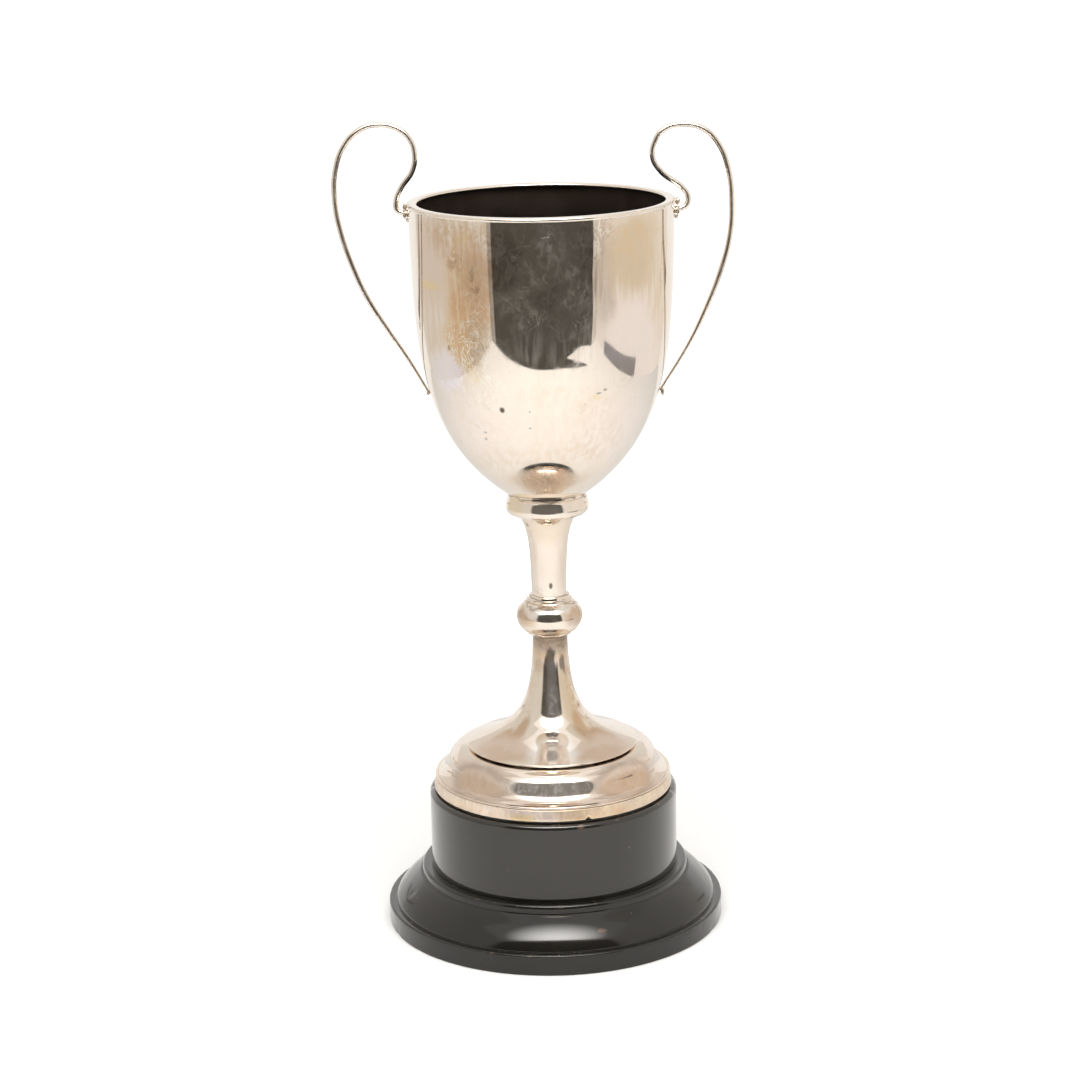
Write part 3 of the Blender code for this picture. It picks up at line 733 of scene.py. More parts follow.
def make_rim(material, inner):
    """The flat wire round the mouth, rounded at both edges, its inner underside dark like the bowl's."""
    low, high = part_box("rim_wire")
    bottom, top, outer = low.z, high.z, high.x
    inner_edge = outer - RIM_WIDTH
    edge = (top - bottom) / 2
    outward = arc((outer - edge, bottom + edge), (edge, edge), -90, 90, 14)
    crown = [(outer - edge - 0.6 * MM, top), (inner_edge + edge + 0.5 * MM, top - 0.05 * MM)]
    inward = arc((inner_edge + edge, bottom + edge), (edge, edge - 0.05 * MM), 90, 270, 14)
    turns_under = len(outward) + len(crown) + 8
    profile = outward + crown + inward
    piece = turned("rim_applied", profile, WIDE, [material, inner], second_from=turns_under)
    of(piece, "cup", "silver", "rim_wire")


def make_collar(material):
    """The cushion-shaped collar under the bowl, and the narrow fillet ring on it."""
    inner = BOWL_SEAT_INNER
    low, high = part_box("collar_fillet")
    leaning = softened(
        (inner, low.z - NEST),
        (high.x, low.z - NEST, 0.35),
        (high.x - 0.42 * MM, high.z + NEST, 0.30),
        (inner, high.z + NEST),
    )
    of(turned("fillet_band", leaning, SMALL, [material]), "cup", "silver", "collar_fillet")
    low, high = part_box("collar_ring")
    lip = [(13.5 * MM, low.z - NEST), (14.1 * MM, low.z - 0.02 * MM), (14.2 * MM, low.z + 0.12 * MM)]
    belly = rolled((high.x - COLLAR_BULGE, low.z + 0.2 * MM), COLLAR_STARTS, COLLAR_RUNS)
    profile = [*lip, *belly, (inner, high.z + NEST), (11.1 * MM, low.z - NEST)]
    of(turned("collar_cushion", profile, SMALL, [material]), "cup", "silver", "collar_ring")


def make_stem(material):
    """The upper stem, waisted above the knop and opening out to the collar."""
    low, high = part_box("stem_upper")
    outside = swept((STEM_FOOT, low.z - NEST), STEM_HANDLES, (high.x, high.z + NEST), 44)
    inside = inner_face(outside, SILVER_WALL)
    inside[0] = (inside[0][0], low.z - NEST)
    inside[-1] = (inside[-1][0], high.z + NEST)
    piece = turned("stem_waisted", outside + inside[::-1], SMALL, [material])
    of(piece, "cup", "silver", "stem_upper")


def make_knop(material):
    """The swollen knop between two small rings."""
    eye = KNOP_EYE
    low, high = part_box("knop")
    middle = (low.z + high.z) / 2
    half = (high.z - low.z) / 2 + NEST
    start = -math.degrees(math.asin(half / KNOP_LOWER_RADII[1]))
    end = math.degrees(math.asin(half / KNOP_UPPER_RADII[1]))
    outside = arc((high.x - KNOP_LOWER_RADII[0], middle), KNOP_LOWER_RADII, start, 0, 26)
    outside += arc((high.x - KNOP_UPPER_RADII[0], middle), KNOP_UPPER_RADII, 0, end, 26)[1:]
    profile = [*outside, (eye, high.z + NEST), (eye, low.z - NEST)]
    of(turned("knop_swollen", profile, SMALL, [material]), "cup", "silver", "knop")
    low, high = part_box("knop_ring_upper")
    profile = softened(
        (eye, low.z - NEST),
        (high.x - 0.5 * MM, low.z - NEST),
        (high.x, low.z + 0.55 * MM, 0.5),
        (high.x - 0.25 * MM, low.z + 1.1 * MM, 0.3),
        (high.x - 1.1 * MM, low.z + 1.35 * MM, 0.2),
        (8.9 * MM, low.z + 1.75 * MM, 0.25),
        (8.7 * MM, high.z - 0.1 * MM, 0.3),
        (7.8 * MM, high.z + NEST, 0.2),
        (eye, high.z + NEST),
    )
    of(turned("knop_bead_upper", profile, SMALL, [material]), "cup", "silver", "knop_ring_upper")
    low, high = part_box("knop_ring_lower")
    profile = softened(
        (eye, low.z - NEST),
        (8.0 * MM, low.z - NEST, 0.2),
        (8.9 * MM, low.z + 0.5 * MM, 0.3),
        (high.x - 0.3 * MM, low.z + 0.9 * MM, 0.4),
        (high.x, high.z - 0.4 * MM, 0.4),
        (high.x - 0.5 * MM, high.z + NEST, 0.1),
        (eye, high.z + NEST),
    )
    of(turned("knop_bead_lower", profile, SMALL, [material]), "cup", "silver", "knop_ring_lower")


def make_trumpet(material):
    """The lower stem, flaring into a thin disc with a rolled edge."""
    low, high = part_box("stem_foot")
    disc = high.x
    edge = 0.45 * MM
    neck = (TRUMPET_NECK, high.z + NEST)
    flare = swept((disc - 0.5 * MM, low.z + 0.98 * MM), TRUMPET_HANDLES, neck, 96)
    roll = arc((disc - edge, low.z + 0.5 * MM), (edge, edge), -90, 70, 12)
    inside = inner_face(flare, SILVER_WALL)
    inside[-1] = (TRUMPET_NECK - SILVER_WALL, high.z + NEST)
    inside = [point for point in inside if point[1] > low.z + 1.4 * MM]
    underside = [(inside[0][0], low.z + 0.05 * MM)]
    piece = turned("stem_trumpet", underside + roll + flare[1:] + inside[::-1], WIDE, [material])
    of(piece, "cup", "silver", "stem_foot")


def make_dome(material):
    """The domed foot with its cove, flange and bead."""
    low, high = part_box("foot_dome")
    outer = high.x
    flange = (outer - 1.3 * MM, low.z + 1.35 * MM)
    bead = (outer - 0.6 * MM, low.z + 0.6 * MM)
    sheet = rolled(flange, DOME_STARTS, (*DOME_COVE, *DOME_CROWN))[::-1]
    inside = inner_face(sheet, -SILVER_WALL)
    inner_edge = outer - DOME_WIDTH
    top = sheet[0][1] + 0.2 * MM
    profile = [(inner_edge, top), *sheet, *arc(bead, (0.6 * MM, 0.6 * MM), 150, -90, 16)]
    profile += [*inside[::-1], (inner_edge, top - SILVER_WALL)]
    of(turned("foot_domed", profile, WIDE, [material]), "cup", "foot_silver", "foot_dome")


def make_skirt(material):
    """The upright foot ring, with an inward lip below."""
    low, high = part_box("foot_skirt")
    outer = high.x
    top = high.z + NEST
    inner = outer - RING_SHEET
    lip = outer - RING_LIP
    outline = softened(
        (lip, low.z),
        (outer - 0.05 * MM, low.z, 0.35),
        (outer - 0.1 * MM, low.z + 0.9 * MM, 0.3),
        (outer - 0.7 * MM, top - 0.2 * MM, 0.2),
        (outer - 1.0 * MM, top, 0.1),
        (inner, top),
        (inner, low.z + SILVER_WALL),
        (lip, low.z + SILVER_WALL),
    )
    nick = Vector((14.6 * MM, -50.1 * MM, low.z))

    def notched(place):
        """A small nick knocked into the lower edge at the front, and slight knocks round the ring."""
        share = 1.0 - (place - nick).length / NICK_REACH
        pushed = place.copy()
        if share > 0.0:
            pushed.z += NICK_RISE * share
            pushed.xy *= 1.0 - 0.010 * share
        wobble = noise.noise(place * 90.0)
        pushed.xy *= 1.0 + 0.0011 * wobble - 0.0011
        return pushed

    skirt = turned("foot_ring", levelled(outline, 0.7 * MM), FINE_EDGE, [material], shaped=notched)
    of(skirt, "cup", "foot_silver", "foot_skirt")


def make_drum(material):
    """The upper block of the plinth, its top edge rounded by wear, with a raised land."""
    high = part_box("plinth_drum")[1]
    outer = high.x
    bottom = top_of("plinth_base") - NEST
    drum_top = high.z - LAND_HEIGHT
    outline = softened(
        (0.0, bottom - SPIGOT_LENGTH),
        (SPIGOT_RADIUS, bottom - SPIGOT_LENGTH),
        (SPIGOT_RADIUS, bottom),
        (outer - 0.1 * MM, bottom, 0.3),
        (outer, drum_top, 2.1),
        (outer - LAND_INSET, drum_top),
        (outer - LAND_INSET - 0.05 * MM, high.z, 0.3),
        (0.0, high.z),
        steps=9,
    )

    def worn(place):
        """Uneven wear and small chips along the top edge."""
        if math.hypot(place.x, place.y) < outer - 2.4 * MM or place.z < drum_top - 2.2 * MM:
            return place
        loss = max(0.0, noise.noise(place * 160.0) - 0.28) * 0.45 * MM
        pushed = place.copy()
        pushed.z -= loss
        pushed.xy *= 1.0 - loss * 4.0
        return pushed

    piece = turned("drum_turned", levelled(outline, 1.5 * MM), FINE_EDGE, [material], shaped=worn)
    of(piece, "plinth", "black_wood", "plinth_drum")


def make_base(material):
    """The moulded base block: band, swelling slope and step, hollowed for the pad."""
    low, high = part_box("plinth_base")
    outer = high.x
    drum = radius_of("plinth_drum")
    step = drum + 4.4 * MM
    step_bottom = high.z - 3.7 * MM
    swell_top = (step + 0.7 * MM, step_bottom)
    band_top = low.z + BAND_HEIGHT
    swell_foot = (step + 12.0 * MM, band_top)
    pocket = radius_of("baize_pad") + 0.3 * MM
    foot = softened(
        (pocket, low.z + PAD_POCKET),
        (pocket, low.z, 0.2),
        (outer, low.z, 0.35),
        (outer, band_top, 0.8),
        (swell_foot[0] + 0.15 * MM, band_top - 0.1 * MM),
        steps=8,
    )
    swell = swept(swell_top, OVOLO_HANDLES, swell_foot, 48)[::-1]
    crown = softened(
        (swell_top[0] - 0.5 * MM, step_bottom - 0.15 * MM),
        (step - 0.1 * MM, step_bottom + 0.3 * MM, 0.3),
        (step, step_bottom + 1.7 * MM, 0.9),
        (step - 0.5 * MM, high.z, 0.9),
        (drum + 0.9 * MM, high.z, 0.35),
        (drum - 1.5 * MM, high.z - 0.3 * MM),
        (SOCKET_RADIUS, high.z - 0.3 * MM),
        (SOCKET_RADIUS, high.z - SOCKET_DEPTH),
        (0.0, high.z - SOCKET_DEPTH),
        steps=8,
    )
    profile = [(0.0, low.z + PAD_POCKET), *foot, *swell, *crown]
    front_dent = (Vector(mm(26.5, -64.0, 17.4)), 3.0 * MM, 0.35 * MM)
    side_dent = (Vector(mm(-63.0, -19.0, 17.0)), 3.4 * MM, 0.12 * MM)

    def worn(place):
        """A knock in the slope at the front, one at the left, and slight wear of the edges."""
        pushed = place.copy()
        for dent, reach, depth in (front_dent, side_dent):
            distance = (place - dent).length
            if distance < reach:
                share = (1.0 - (distance / reach) ** 2) ** 2
                pushed.xy *= 1.0 - depth * share / math.hypot(place.x, place.y)
                pushed.z -= depth * share * 0.6
        if math.hypot(place.x, place.y) > outer - 0.9 * MM:
            loss = max(0.0, noise.noise(place * 140.0) - 0.30) * 0.35 * MM
            pushed.xy *= 1.0 - loss / outer
        return pushed

    piece = turned("base_moulded", levelled(profile, 1.6 * MM), FINE_EDGE, [material], shaped=worn)
    of(piece, "plinth", "black_wood", "plinth_base")


def make_pad(material):
    """The cloth disc under the base, with a soft cut edge."""
    low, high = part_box("baize_pad")
    outline = softened((0.0, low.z), (high.x, low.z, 0.4), (high.x, high.z, 0.3), (0.0, high.z))
    piece = turned("baize_disc", levelled(outline, 4.0 * MM), WIDE, [material])
    of(piece, "plinth", "baize", "baize_pad")


def make_wire(name, side, route, material, node_name):
    """One drawn silver wire, full to near its lower end, where it thins."""
    rim_edge = radius_of("rim_wire")
    rim_top = top_of("rim_wire")
    curve = bpy.data.curves.new(name, "CURVE")
    curve.dimensions = "3D"
    curve.bevel_depth = WIRE_RADIUS
    curve.bevel_resolution = 7
    curve.resolution_u = 20
    curve.use_fill_caps = True
    curve.materials.append(material)
    spline = curve.splines.new("BEZIER")
    spline.bezier_points.add(len(route) - 1)
    thinning = 1.0 - WIRE_TIP_RADIUS / WIRE_RADIUS
    for index, (out, up) in enumerate(route):
        knot = spline.bezier_points[index]
        knot.co = (side * (rim_edge + out), 0.0, rim_top + up)
        knot.handle_left_type = "AUTO"
        knot.handle_right_type = "AUTO"
        to_tip = len(route) - 1 - index
        knot.radius = 1.0 - thinning * max(TAPER_POINTS - to_tip, 0) / TAPER_POINTS
    of(placed(name, curve), "cup", "wire_silver", node_name)


def make_eyelet(name, place, material):
    """A small ring of wire on a boss, its hole facing the front."""
    section = arc((EYELET_RADIUS, 0.0), (EYELET_WIRE, EYELET_WIRE), 0, 345, 15)
    piece = turned(name, section, 48, [material])
    piece.data.transform(Matrix.Translation(place) @ Matrix.Rotation(math.radians(90.0), 4, "X"))
    of(piece, "cup", "wire_silver")


def make_handles(material, solder):
    """Both wire handles, their bosses under the rim, and the solder where they are joined."""
    make_wire("wire_left", -1, LEFT_ROUTE, material, "handle_left")
    make_wire("wire_right", 1, RIGHT_ROUTE, material, "handle_right")
    for side, label, node_name in ((-1, "left", "handle_left_boss"), (1, "right", "handle_right_boss")):
        low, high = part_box(node_name)
        centre = (low + high) / 2
        seat = centre - Vector((side * 0.1 * MM, 0.0, 0.3 * MM))
        boss = blob(f"boss_{label}", seat, mm(1.15, 1.5, 1.8), 0.18, side * 2.0, solder)
        of(boss, "cup", "wire_silver", node_name)
        make_eyelet(f"eyelet_{label}", centre + Vector(mm(side * -0.5, -1.6, -0.8)), material)
    for label, place, radii, seed in SOLDER_SPOTS:
        lump = blob(f"solder_{label}", mm(*place), mm(*radii), 0.35, seed, solder)
        of(lump, "cup", "wire_silver")


def emptied(data):
    """The cleared node tree of a new material or world."""
    data.use_nodes = True
    data.node_tree.nodes.clear()
    return data.node_tree


def card(name, corners, colour, strength, faces=None, fade=None):
    """A stage panel that lights only what mirrors it, all over or fading out from fade: (centre, radii)."""
    mesh = bpy.data.meshes.new(name)
    mesh.from_pydata(corners, [], faces or [tuple(range(len(corners)))])
    panel = placed(name, mesh)
    material = bpy.data.materials.new(name)
    tree = emptied(material)
    if fade:
        place = node(tree, "ShaderNodeTexCoord").outputs["Object"]
        strength = more(tree, times(tree, near(tree, place, *fade, edge=0.9), strength), FADED_GLOW)
    glow = node(tree, "ShaderNodeEmission", {"Color": (*colour, 1.0), "Strength": strength})
    node(tree, "ShaderNodeOutputMaterial", {"Surface": glow.outputs[0]})
    mesh.materials.append(material)
    panel.visible_camera = False
    panel.visible_diffuse = False
    panel.visible_shadow = False
    panel.visible_volume_scatter = False


def upright(x, y0, y1, z0, z1):
    """Corners of a panel that faces along X."""
    return [(x, y0, z0), (x, y1, z0), (x, y1, z1), (x, y0, z1)]


def facing(y, x0, x1, z0, z1):
    """Corners of a panel that faces along Y."""
    return [(x0, y, z0), (x1, y, z0), (x1, y, z1), (x0, y, z1)]


def level(z, x0, x1, y0, y1):
    """Corners of a panel that lies flat."""
    return [(x0, y0, z), (x1, y0, z), (x1, y1, z), (x0, y1, z)]


def strip_card(name, path, width, colour, strength):
    """A narrow upright strip of the stage along a path of points, this wide in height."""
    count = len(path)
    corners = [(x, y, z + rise) for rise in (-width / 2, width / 2) for x, y, z in path]
    faces = [(index, index + 1, count + index + 1, count + index) for index in range(count - 1)]
    card(name, corners, colour, strength, faces)


def make_tent():
    """The light tent that the silver mirrors: walls, roof and bright box, and the opening at the front."""
    side, front, back, top = TENT_SIDE, TENT_FRONT, TENT_BACK, TENT_TOP
    card("tent_left", upright(-side, front, back, 0.0, top), CLOTH, 0.74)
    card("tent_right", upright(side, front, back, 0.0, top), CLOTH, 0.88)
    card("tent_back", facing(back, -side, side, 0.0, top), (1.0, 0.985, 0.965), 0.97)
    card("tent_roof", level(top, -side, side, SOFTBOX_END, back), CLOTH, 0.76)
    card("tent_roof_middle", level(top - CLEAR, -0.30, 0.30, SOFTBOX_END, 0.34), BOX_LIGHT, 1.02)
    for label, x0, x1 in (("left", -side, -0.11), ("right", 0.11, side)):
        card(f"tent_back_{label}", facing(back - CLEAR, x0, x1, 0.27, top), (1.0, 0.955, 0.90), 0.78)
    softbox = level(top, -side, side, front, SOFTBOX_END)
    card("tent_softbox", softbox, BOX_LIGHT, SOFTBOX_GLOW, fade=SOFTBOX_FADE)
    card("tent_front", facing(front, -side, side, 0.0, top), (1.0, 0.97, 0.93), 0.95)
    opening = facing(TABLE_FRONT, OPENING_LEFT, OPENING_RIGHT, 0.0, OPENING_TOP)
    card("tent_opening", opening, (1.0, 0.93, 0.82), 0.085)
    for x0, x1, strength in ((-side, OPENING_LEFT, 0.40), (OPENING_RIGHT, side, 0.70)):
        card("tent_post", facing(TABLE_FRONT, x0, x1, 0.0, OPENING_TOP), (1.0, 0.94, 0.87), strength)
    flap = [(x, TABLE_FRONT + CLEAR, z) for x, z in FLAP]
    card("tent_flap", flap, (1.0, 0.97, 0.94), 1.0)
    card("table_tongue", [(x, y, CLEAR) for x, y in TONGUE], (1.0, 0.95, 0.90), 0.17)
    card("tent_gap", GAP, (1.0, 0.97, 0.99), 0.30)
    for label, path in (("left", LEFT_FOLD), ("right", RIGHT_FOLD)):
        strip_card(f"tent_fold_{label}", path, FOLD_WIDTH, (0.50, 0.43, 0.36), 0.35)


def make_floor():
    """White paper, brighter away from the plinth to the camera, and darker in the silver."""
    floor_mesh = bpy.data.meshes.new("floor")
    corners = level(-FLOOR_DROP, -FLOOR_REACH, FLOOR_REACH, -FLOOR_REACH, FLOOR_REACH)
    floor_mesh.from_pydata(corners, [], [(0, 1, 2, 3)])
    floor = placed("floor", floor_mesh)
    material = bpy.data.materials.new("floor_paper")
    tree = emptied(material)
    matt = node(tree, "ShaderNodeBsdfDiffuse", {"Color": (0.80, 0.79, 0.775, 1.0)})
    rays = node(tree, "ShaderNodeLightPath").outputs
    seen = more(tree, rays["Is Camera Ray"], rays["Is Transmission Ray"])
    away = length_of(tree, node(tree, "ShaderNodeTexCoord").outputs["Object"])
    mirrored = times(tree, rays["Is Glossy Ray"], FLOOR_MIRRORED)
    glow = more(tree, mirrored, times(tree, seen, ranged(tree, away, 0.06, 0.50, 0.30, 0.80)))
    lift = node(tree, "ShaderNodeEmission", {"Color": (*LAMP_WHITE, 1.0), "Strength": glow})
    both = node(tree, "ShaderNodeAddShader", {0: matt.outputs[0], 1: lift.outputs[0]})
    node(tree, "ShaderNodeOutputMaterial", {"Surface": both.outputs[0]})
    floor_mesh.materials.append(material)


def make_light():
    """An even white world, dimmer where it lights than where it is seen, and the tent's lamps."""
    world = bpy.data.worlds.new("studio")
    bpy.context.scene.world = world
    tree = emptied(world)
    rays = node(tree, "ShaderNodeLightPath").outputs
    seen = more(tree, rays["Is Camera Ray"], rays["Is Glossy Ray"], rays["Is Transmission Ray"])
    strength = ranged(tree, seen, 0.0, 1.0, 0.45, 1.0, smooth=False)
    sky = node(tree, "ShaderNodeBackground", {"Color": (1.0, 1.0, 1.0, 1.0), "Strength": strength})
    node(tree, "ShaderNodeOutputWorld", {"Surface": sky.outputs[0]})
    lamp("softbox_tubes", (0.0, -0.535, 0.792), (0.0, -0.535, 0.0), (0.80, 0.10), 2.2)
    lamp("softbox_cloth", (0.0, -0.370, 0.792), (0.0, -0.370, 0.0), (0.80, 0.22), 1.4)
    lamp("softbox_spread", (0.0, -0.365, 0.935), (0.0, 0.0, 0.12), (1.10, 0.62), 3.8)
    lamp("fill_back", (0.0, 0.9, 1.5), (0.0, 0.0, 0.10), (1.6, 1.2), 3.0)


def lamp(name, place, target, size, power):
    """A soft rectangular lamp aimed at a point; only the tent's panels show in the silver."""
    data = bpy.data.lights.new(name, "AREA")
    data.shape = "RECTANGLE"
    data.size, data.size_y = size
    data.energy = power
    data.color = LAMP_WHITE
    lit = placed(name, data)
    lit.location = place
    lit.rotation_mode = "QUATERNION"
    lit.rotation_quaternion = (Vector(target) - Vector(place)).to_track_quat("-Z", "Y")
    lit.visible_camera = False
    lit.visible_glossy = False


def make_camera():
    """The photograph's viewpoint."""
    data = bpy.data.cameras.new("camera")
    data.lens = CAMERA_LENS
    data.sensor_width = CAMERA_SENSOR
    data.sensor_fit = "HORIZONTAL"
    data.clip_end = CAMERA_FAR
    camera = placed("camera", data)
    pitch = Matrix.Rotation(math.radians(90.0 - CAMERA_PITCH), 4, "X")
    roll = Matrix.Rotation(math.radians(CAMERA_ROLL), 4, "Z")
    camera.matrix_world = Matrix.Translation(CAMERA_PLACE) @ pitch @ roll
    bpy.context.scene.camera = camera


def at(azimuth, height, radius):
    """A point on a turned surface: degrees from the front towards the right, and mm."""
    angle = math.radians(azimuth)
    return (radius * math.sin(angle) * MM, -radius * math.cos(angle) * MM, height * MM)


# Patches, spots and dents of the silver, as silver() explains them
BOWL_PATCHES = (
    ("rose", -54, 297, 15, 19, 0.80), ("rose", -33, 304, 11, 11, 0.50),
    ("brown", -32, 305, 9, 9, 0.50, "mottled"), ("beige", -40, 311, 24, 5, 0.80, "mottled"),
    ("brown", -40, 305, 12, 7, 0.40, "mottled"), ("yellow", -38, 307, 6, 5, 0.50, "mottled"),
    ("gold", -35, 280, 10, 24, 0.80), ("brown", -29, 291, 8, 15, 0.80),
    ("brown", -36, 299, 9, 5, 0.70, "mottled"), ("orange", -27, 282, 7, 8, 0.80, "mottled"),
    ("rose", -30, 300, 8, 5, 0.35, "mottled"), ("dark", -30.5, 293.5, 2.2, 3.2, 0.55, "mottled"),
    ("dark", -29.5, 288.5, 1.8, 2.6, 0.55, "mottled"), ("brown", -26, 305, 5, 9, 0.40, "streaky"),
    ("orange", -39, 275, 3, 10, 0.80, "mottled"), ("brown", -38, 283, 5, 6, 0.40, "mottled"),
    ("gold", -41, 265, 9, 12, 0.85), ("orange", -37, 262, 5, 8, 0.40, "mottled"),
    ("yellow", -40, 257, 9, 10, 0.60, "mottled"), ("brown", -33, 288, 9, 18, 0.60, "streaky"),
    ("brown", -40, 306, 16, 9, 0.45, "streaky"), ("orange", -38, 270, 7, 15, 0.55, "streaky"),
    ("dark", -30, 289, 4, 12, 0.22, "mottled"), ("dark", -38, 298, 4, 3, 0.25, "mottled"),
    ("brown", -32, 266, 6, 10, 0.45, "mottled"), ("pale", -38, 259, 12, 13, 0.90, "curly"),
    ("pale", -30, 252, 8, 12, 0.70, "curly"), ("pale", -30, 273, 8, 10, 0.40, "curly"),
    ("mist", -52, 252, 10, 8, 0.95), ("grey", -30, 268, 6, 10, 0.35, "mottled"),
    ("warm", -60, 272, 10, 17, 0.60, "streaky"), ("yellow", -57, 287, 7, 2.2, 0.70),
    ("bloom", -54, 253, 9, 7, 0.16), ("bloom", -47, 247, 9, 5, 0.08, "mottled"),
    ("grey", -31, 261, 4, 7, 0.30), ("grey", 27, 294, 5, 24, 0.60),
    ("grey", 27, 294, 6, 24, 0.55, "streaky"), ("rose", 31, 296, 4, 20, 0.45, "streaky"),
    ("rose", 29, 309, 8, 7, 0.60, "mottled"), ("pale", 27, 311, 5, 5, 0.70, "curly"),
    ("beige", 43, 300, 15, 16, 0.90), ("gold", 45, 306, 14, 9, 0.45, "mottled"),
    ("beige", 46, 287, 12, 11, 0.60, "streaky"), ("warm", 57, 292, 8, 26, 0.60, "streaky"),
    ("pink", 41, 269, 14, 13, 0.95), ("pink", 54, 257, 10, 11, 0.90), ("bloom", 44, 266, 14, 12, 0.05),
    ("warm", 66, 280, 9, 26, 0.45), ("dark", 62.5, 288, 0.5, 24, 0.35, "streaky"),
    ("bloom", 21, 270, 3, 10, 0.10, "streaky"), ("bloom", 14, 288, 6, 9, 0.065, "mottled"),
    ("bloom", -12, 281, 9, 9, 0.055, "mottled"), ("bloom", 4, 300, 12, 9, 0.030, "mottled"),
    ("bloom", -3, 277, 8, 3, 0.060, "curly"), ("bloom", 6, 262, 16, 9, 0.090, "streaky"),
    ("bloom", -8, 268, 8, 10, 0.060, "streaky"), ("scuff", 0, 203.0, 40, 6.0, 0.22),
    # Brown patch on the bowl's bottom at 203 mm: painted shade over the foot mirrored there
    ("brown", 0, 203.0, 30, 5.0, 0.45), ("bloom", 1.5, 309.5, 3.0, 0.55, 0.26, "mottled"),
    ("bloom", 16, 272, 6, 6, 0.070, "curly"), ("bloom", 19, 284, 4, 9, 0.060, "curly"),
    ("dark", -15, 299, 9, 12, 0.50, "mottled"), ("dark", 17, 304, 8, 9, 0.50, "mottled"),
    ("dark", 19, 292, 5, 8, 0.40, "streaky"), ("dark", 2, 286, 7, 6, 0.35, "mottled"),
    ("dark", -5, 268, 9, 6, 0.35, "streaky"), ("bloom", 6, 306, 10, 8, 0.035, "mottled"),
    ("bloom", -6, 292, 7, 6, 0.040, "mottled"), ("warm", 30, 236, 16, 9, 0.45, "mottled"),
    ("beige", 33, 222, 15, 8, 0.50, "streaky"), ("rose", 20, 228, 20, 12, 0.20, "streaky"),
    ("pink", -42, 230, 22, 16, 0.50), ("pink", 44, 228, 20, 16, 0.50),
    ("warm", -38, 233, 18, 14, 0.25, "mottled"), ("beige", -30, 214, 18, 6, 0.30, "streaky"),
    ("pale", -26, 244, 10, 10, 0.60, "curly"), ("warm", 8, 216, 24, 5, 0.40, "streaky"),
    ("beige", 4, 244, 18, 5, 0.22, "mottled"), ("yellow", 27, 242.5, 4, 1.8, 0.65, "mottled"),
)
BOWL_SPOTS = (
    (-21.3, 237.4, 1.25, 1.2, 0.90), (-73.0, 268.0, 1.6, 1.8, 0.35), (25.6, 243.6, 1.2, 0.45, 0.50),
    (28.8, 244.8, 1.0, 0.55, 0.45), (-47.0, 262.0, 0.8, 1.1, 0.45), (-7.7, 237.0, 0.55, 0.5, 0.35),
    (-8.0, 229.6, 0.80, 0.35, 0.45), (-33.6, 226.5, 1.10, 0.45, 0.35), (-34.5, 223.4, 0.80, 0.60, 0.45),
)
BOWL_DENTS = (
    (28.5, 308.0, 7.0, 8.0, 4.5), (27.0, 293.0, 7.0, 8.0, -3.5), (26.5, 280.0, 6.0, 7.0, 2.5),
)
RING_PATCHES = (
    ("bloom", 0, 62.5, 70, 5, 0.46), ("bloom", -58, 62.5, 26, 5, 0.30), ("bloom", 60, 62.5, 24, 5, 0.22),
    ("pink", -30, 63.4, 40, 2.4, 0.70), ("gold", 20, 62.5, 22, 4, 0.60),
    ("orange", 28, 62.0, 9, 2, 0.85, "mottled"), ("orange", 14, 61.4, 5, 1.0, 0.80, "mottled"),
    ("yellow", -15, 61.8, 8, 1.9, 0.95), ("orange", -17, 61.2, 5, 0.7, 0.80, "mottled"),
    ("pink", -4, 63.0, 6, 2.2, 0.90), ("brown", 8, 61.6, 5, 1.4, 0.50, "mottled"),
    ("orange", -38, 61.6, 10, 1.2, 0.50, "streaky"), ("yellow", -50, 62.5, 9, 2, 0.50, "mottled"),
    ("beige", -40, 62.5, 30, 4, 0.40, "streaky"), ("gold", 62, 62.5, 16, 4, 0.60, "mottled"),
    ("rose", -78, 63.0, 20, 4, 0.50), ("gold", 150, 62.5, 40, 4, 0.60, "mottled"),
    ("rose", -140, 62.5, 30, 4, 0.60, "mottled"),
)
DOME_PATCHES = (
    # Rose, grey and brown patches at both sides of the dome, 70.6 to 72.2 mm: painted reflections of the
    # tent's side walls
    ("rose", -46, 72.0, 36, 8.0, 0.60), ("grey", -45, 72.2, 22, 6.2, 0.90),
    ("rose", -45, 72.2, 18.5, 4.9, 0.90), ("brown", -45, 70.6, 17, 3.6, 0.35),
    ("brown", -48, 72.2, 12, 4.0, 0.25, "streaky"), ("rose", 46, 72.0, 36, 8.0, 0.60),
    ("grey", 44, 72.2, 22, 6.2, 0.90), ("rose", 44, 72.2, 18.5, 4.9, 0.90),
    ("brown", 44, 70.8, 18, 3.9, 0.55), ("brown", 48, 72.2, 12, 4.0, 0.25, "streaky"),
    ("bloom", -2, 73.0, 26, 4.6, 0.15), ("bloom", -2, 73.0, 26, 4.6, 0.07, "mottled"),
    # Rose and grey bands at the front, 66.2 to 67.7 mm: a painted reflection in the cove and flange
    ("rose", 0, 67.7, 50, 0.9, 0.80), ("grey", 0, 67.6, 34, 0.7, 0.30), ("rose", 0, 66.2, 90, 0.6, 0.45),
    ("rose", 150, 73.0, 60, 9, 0.50),
)
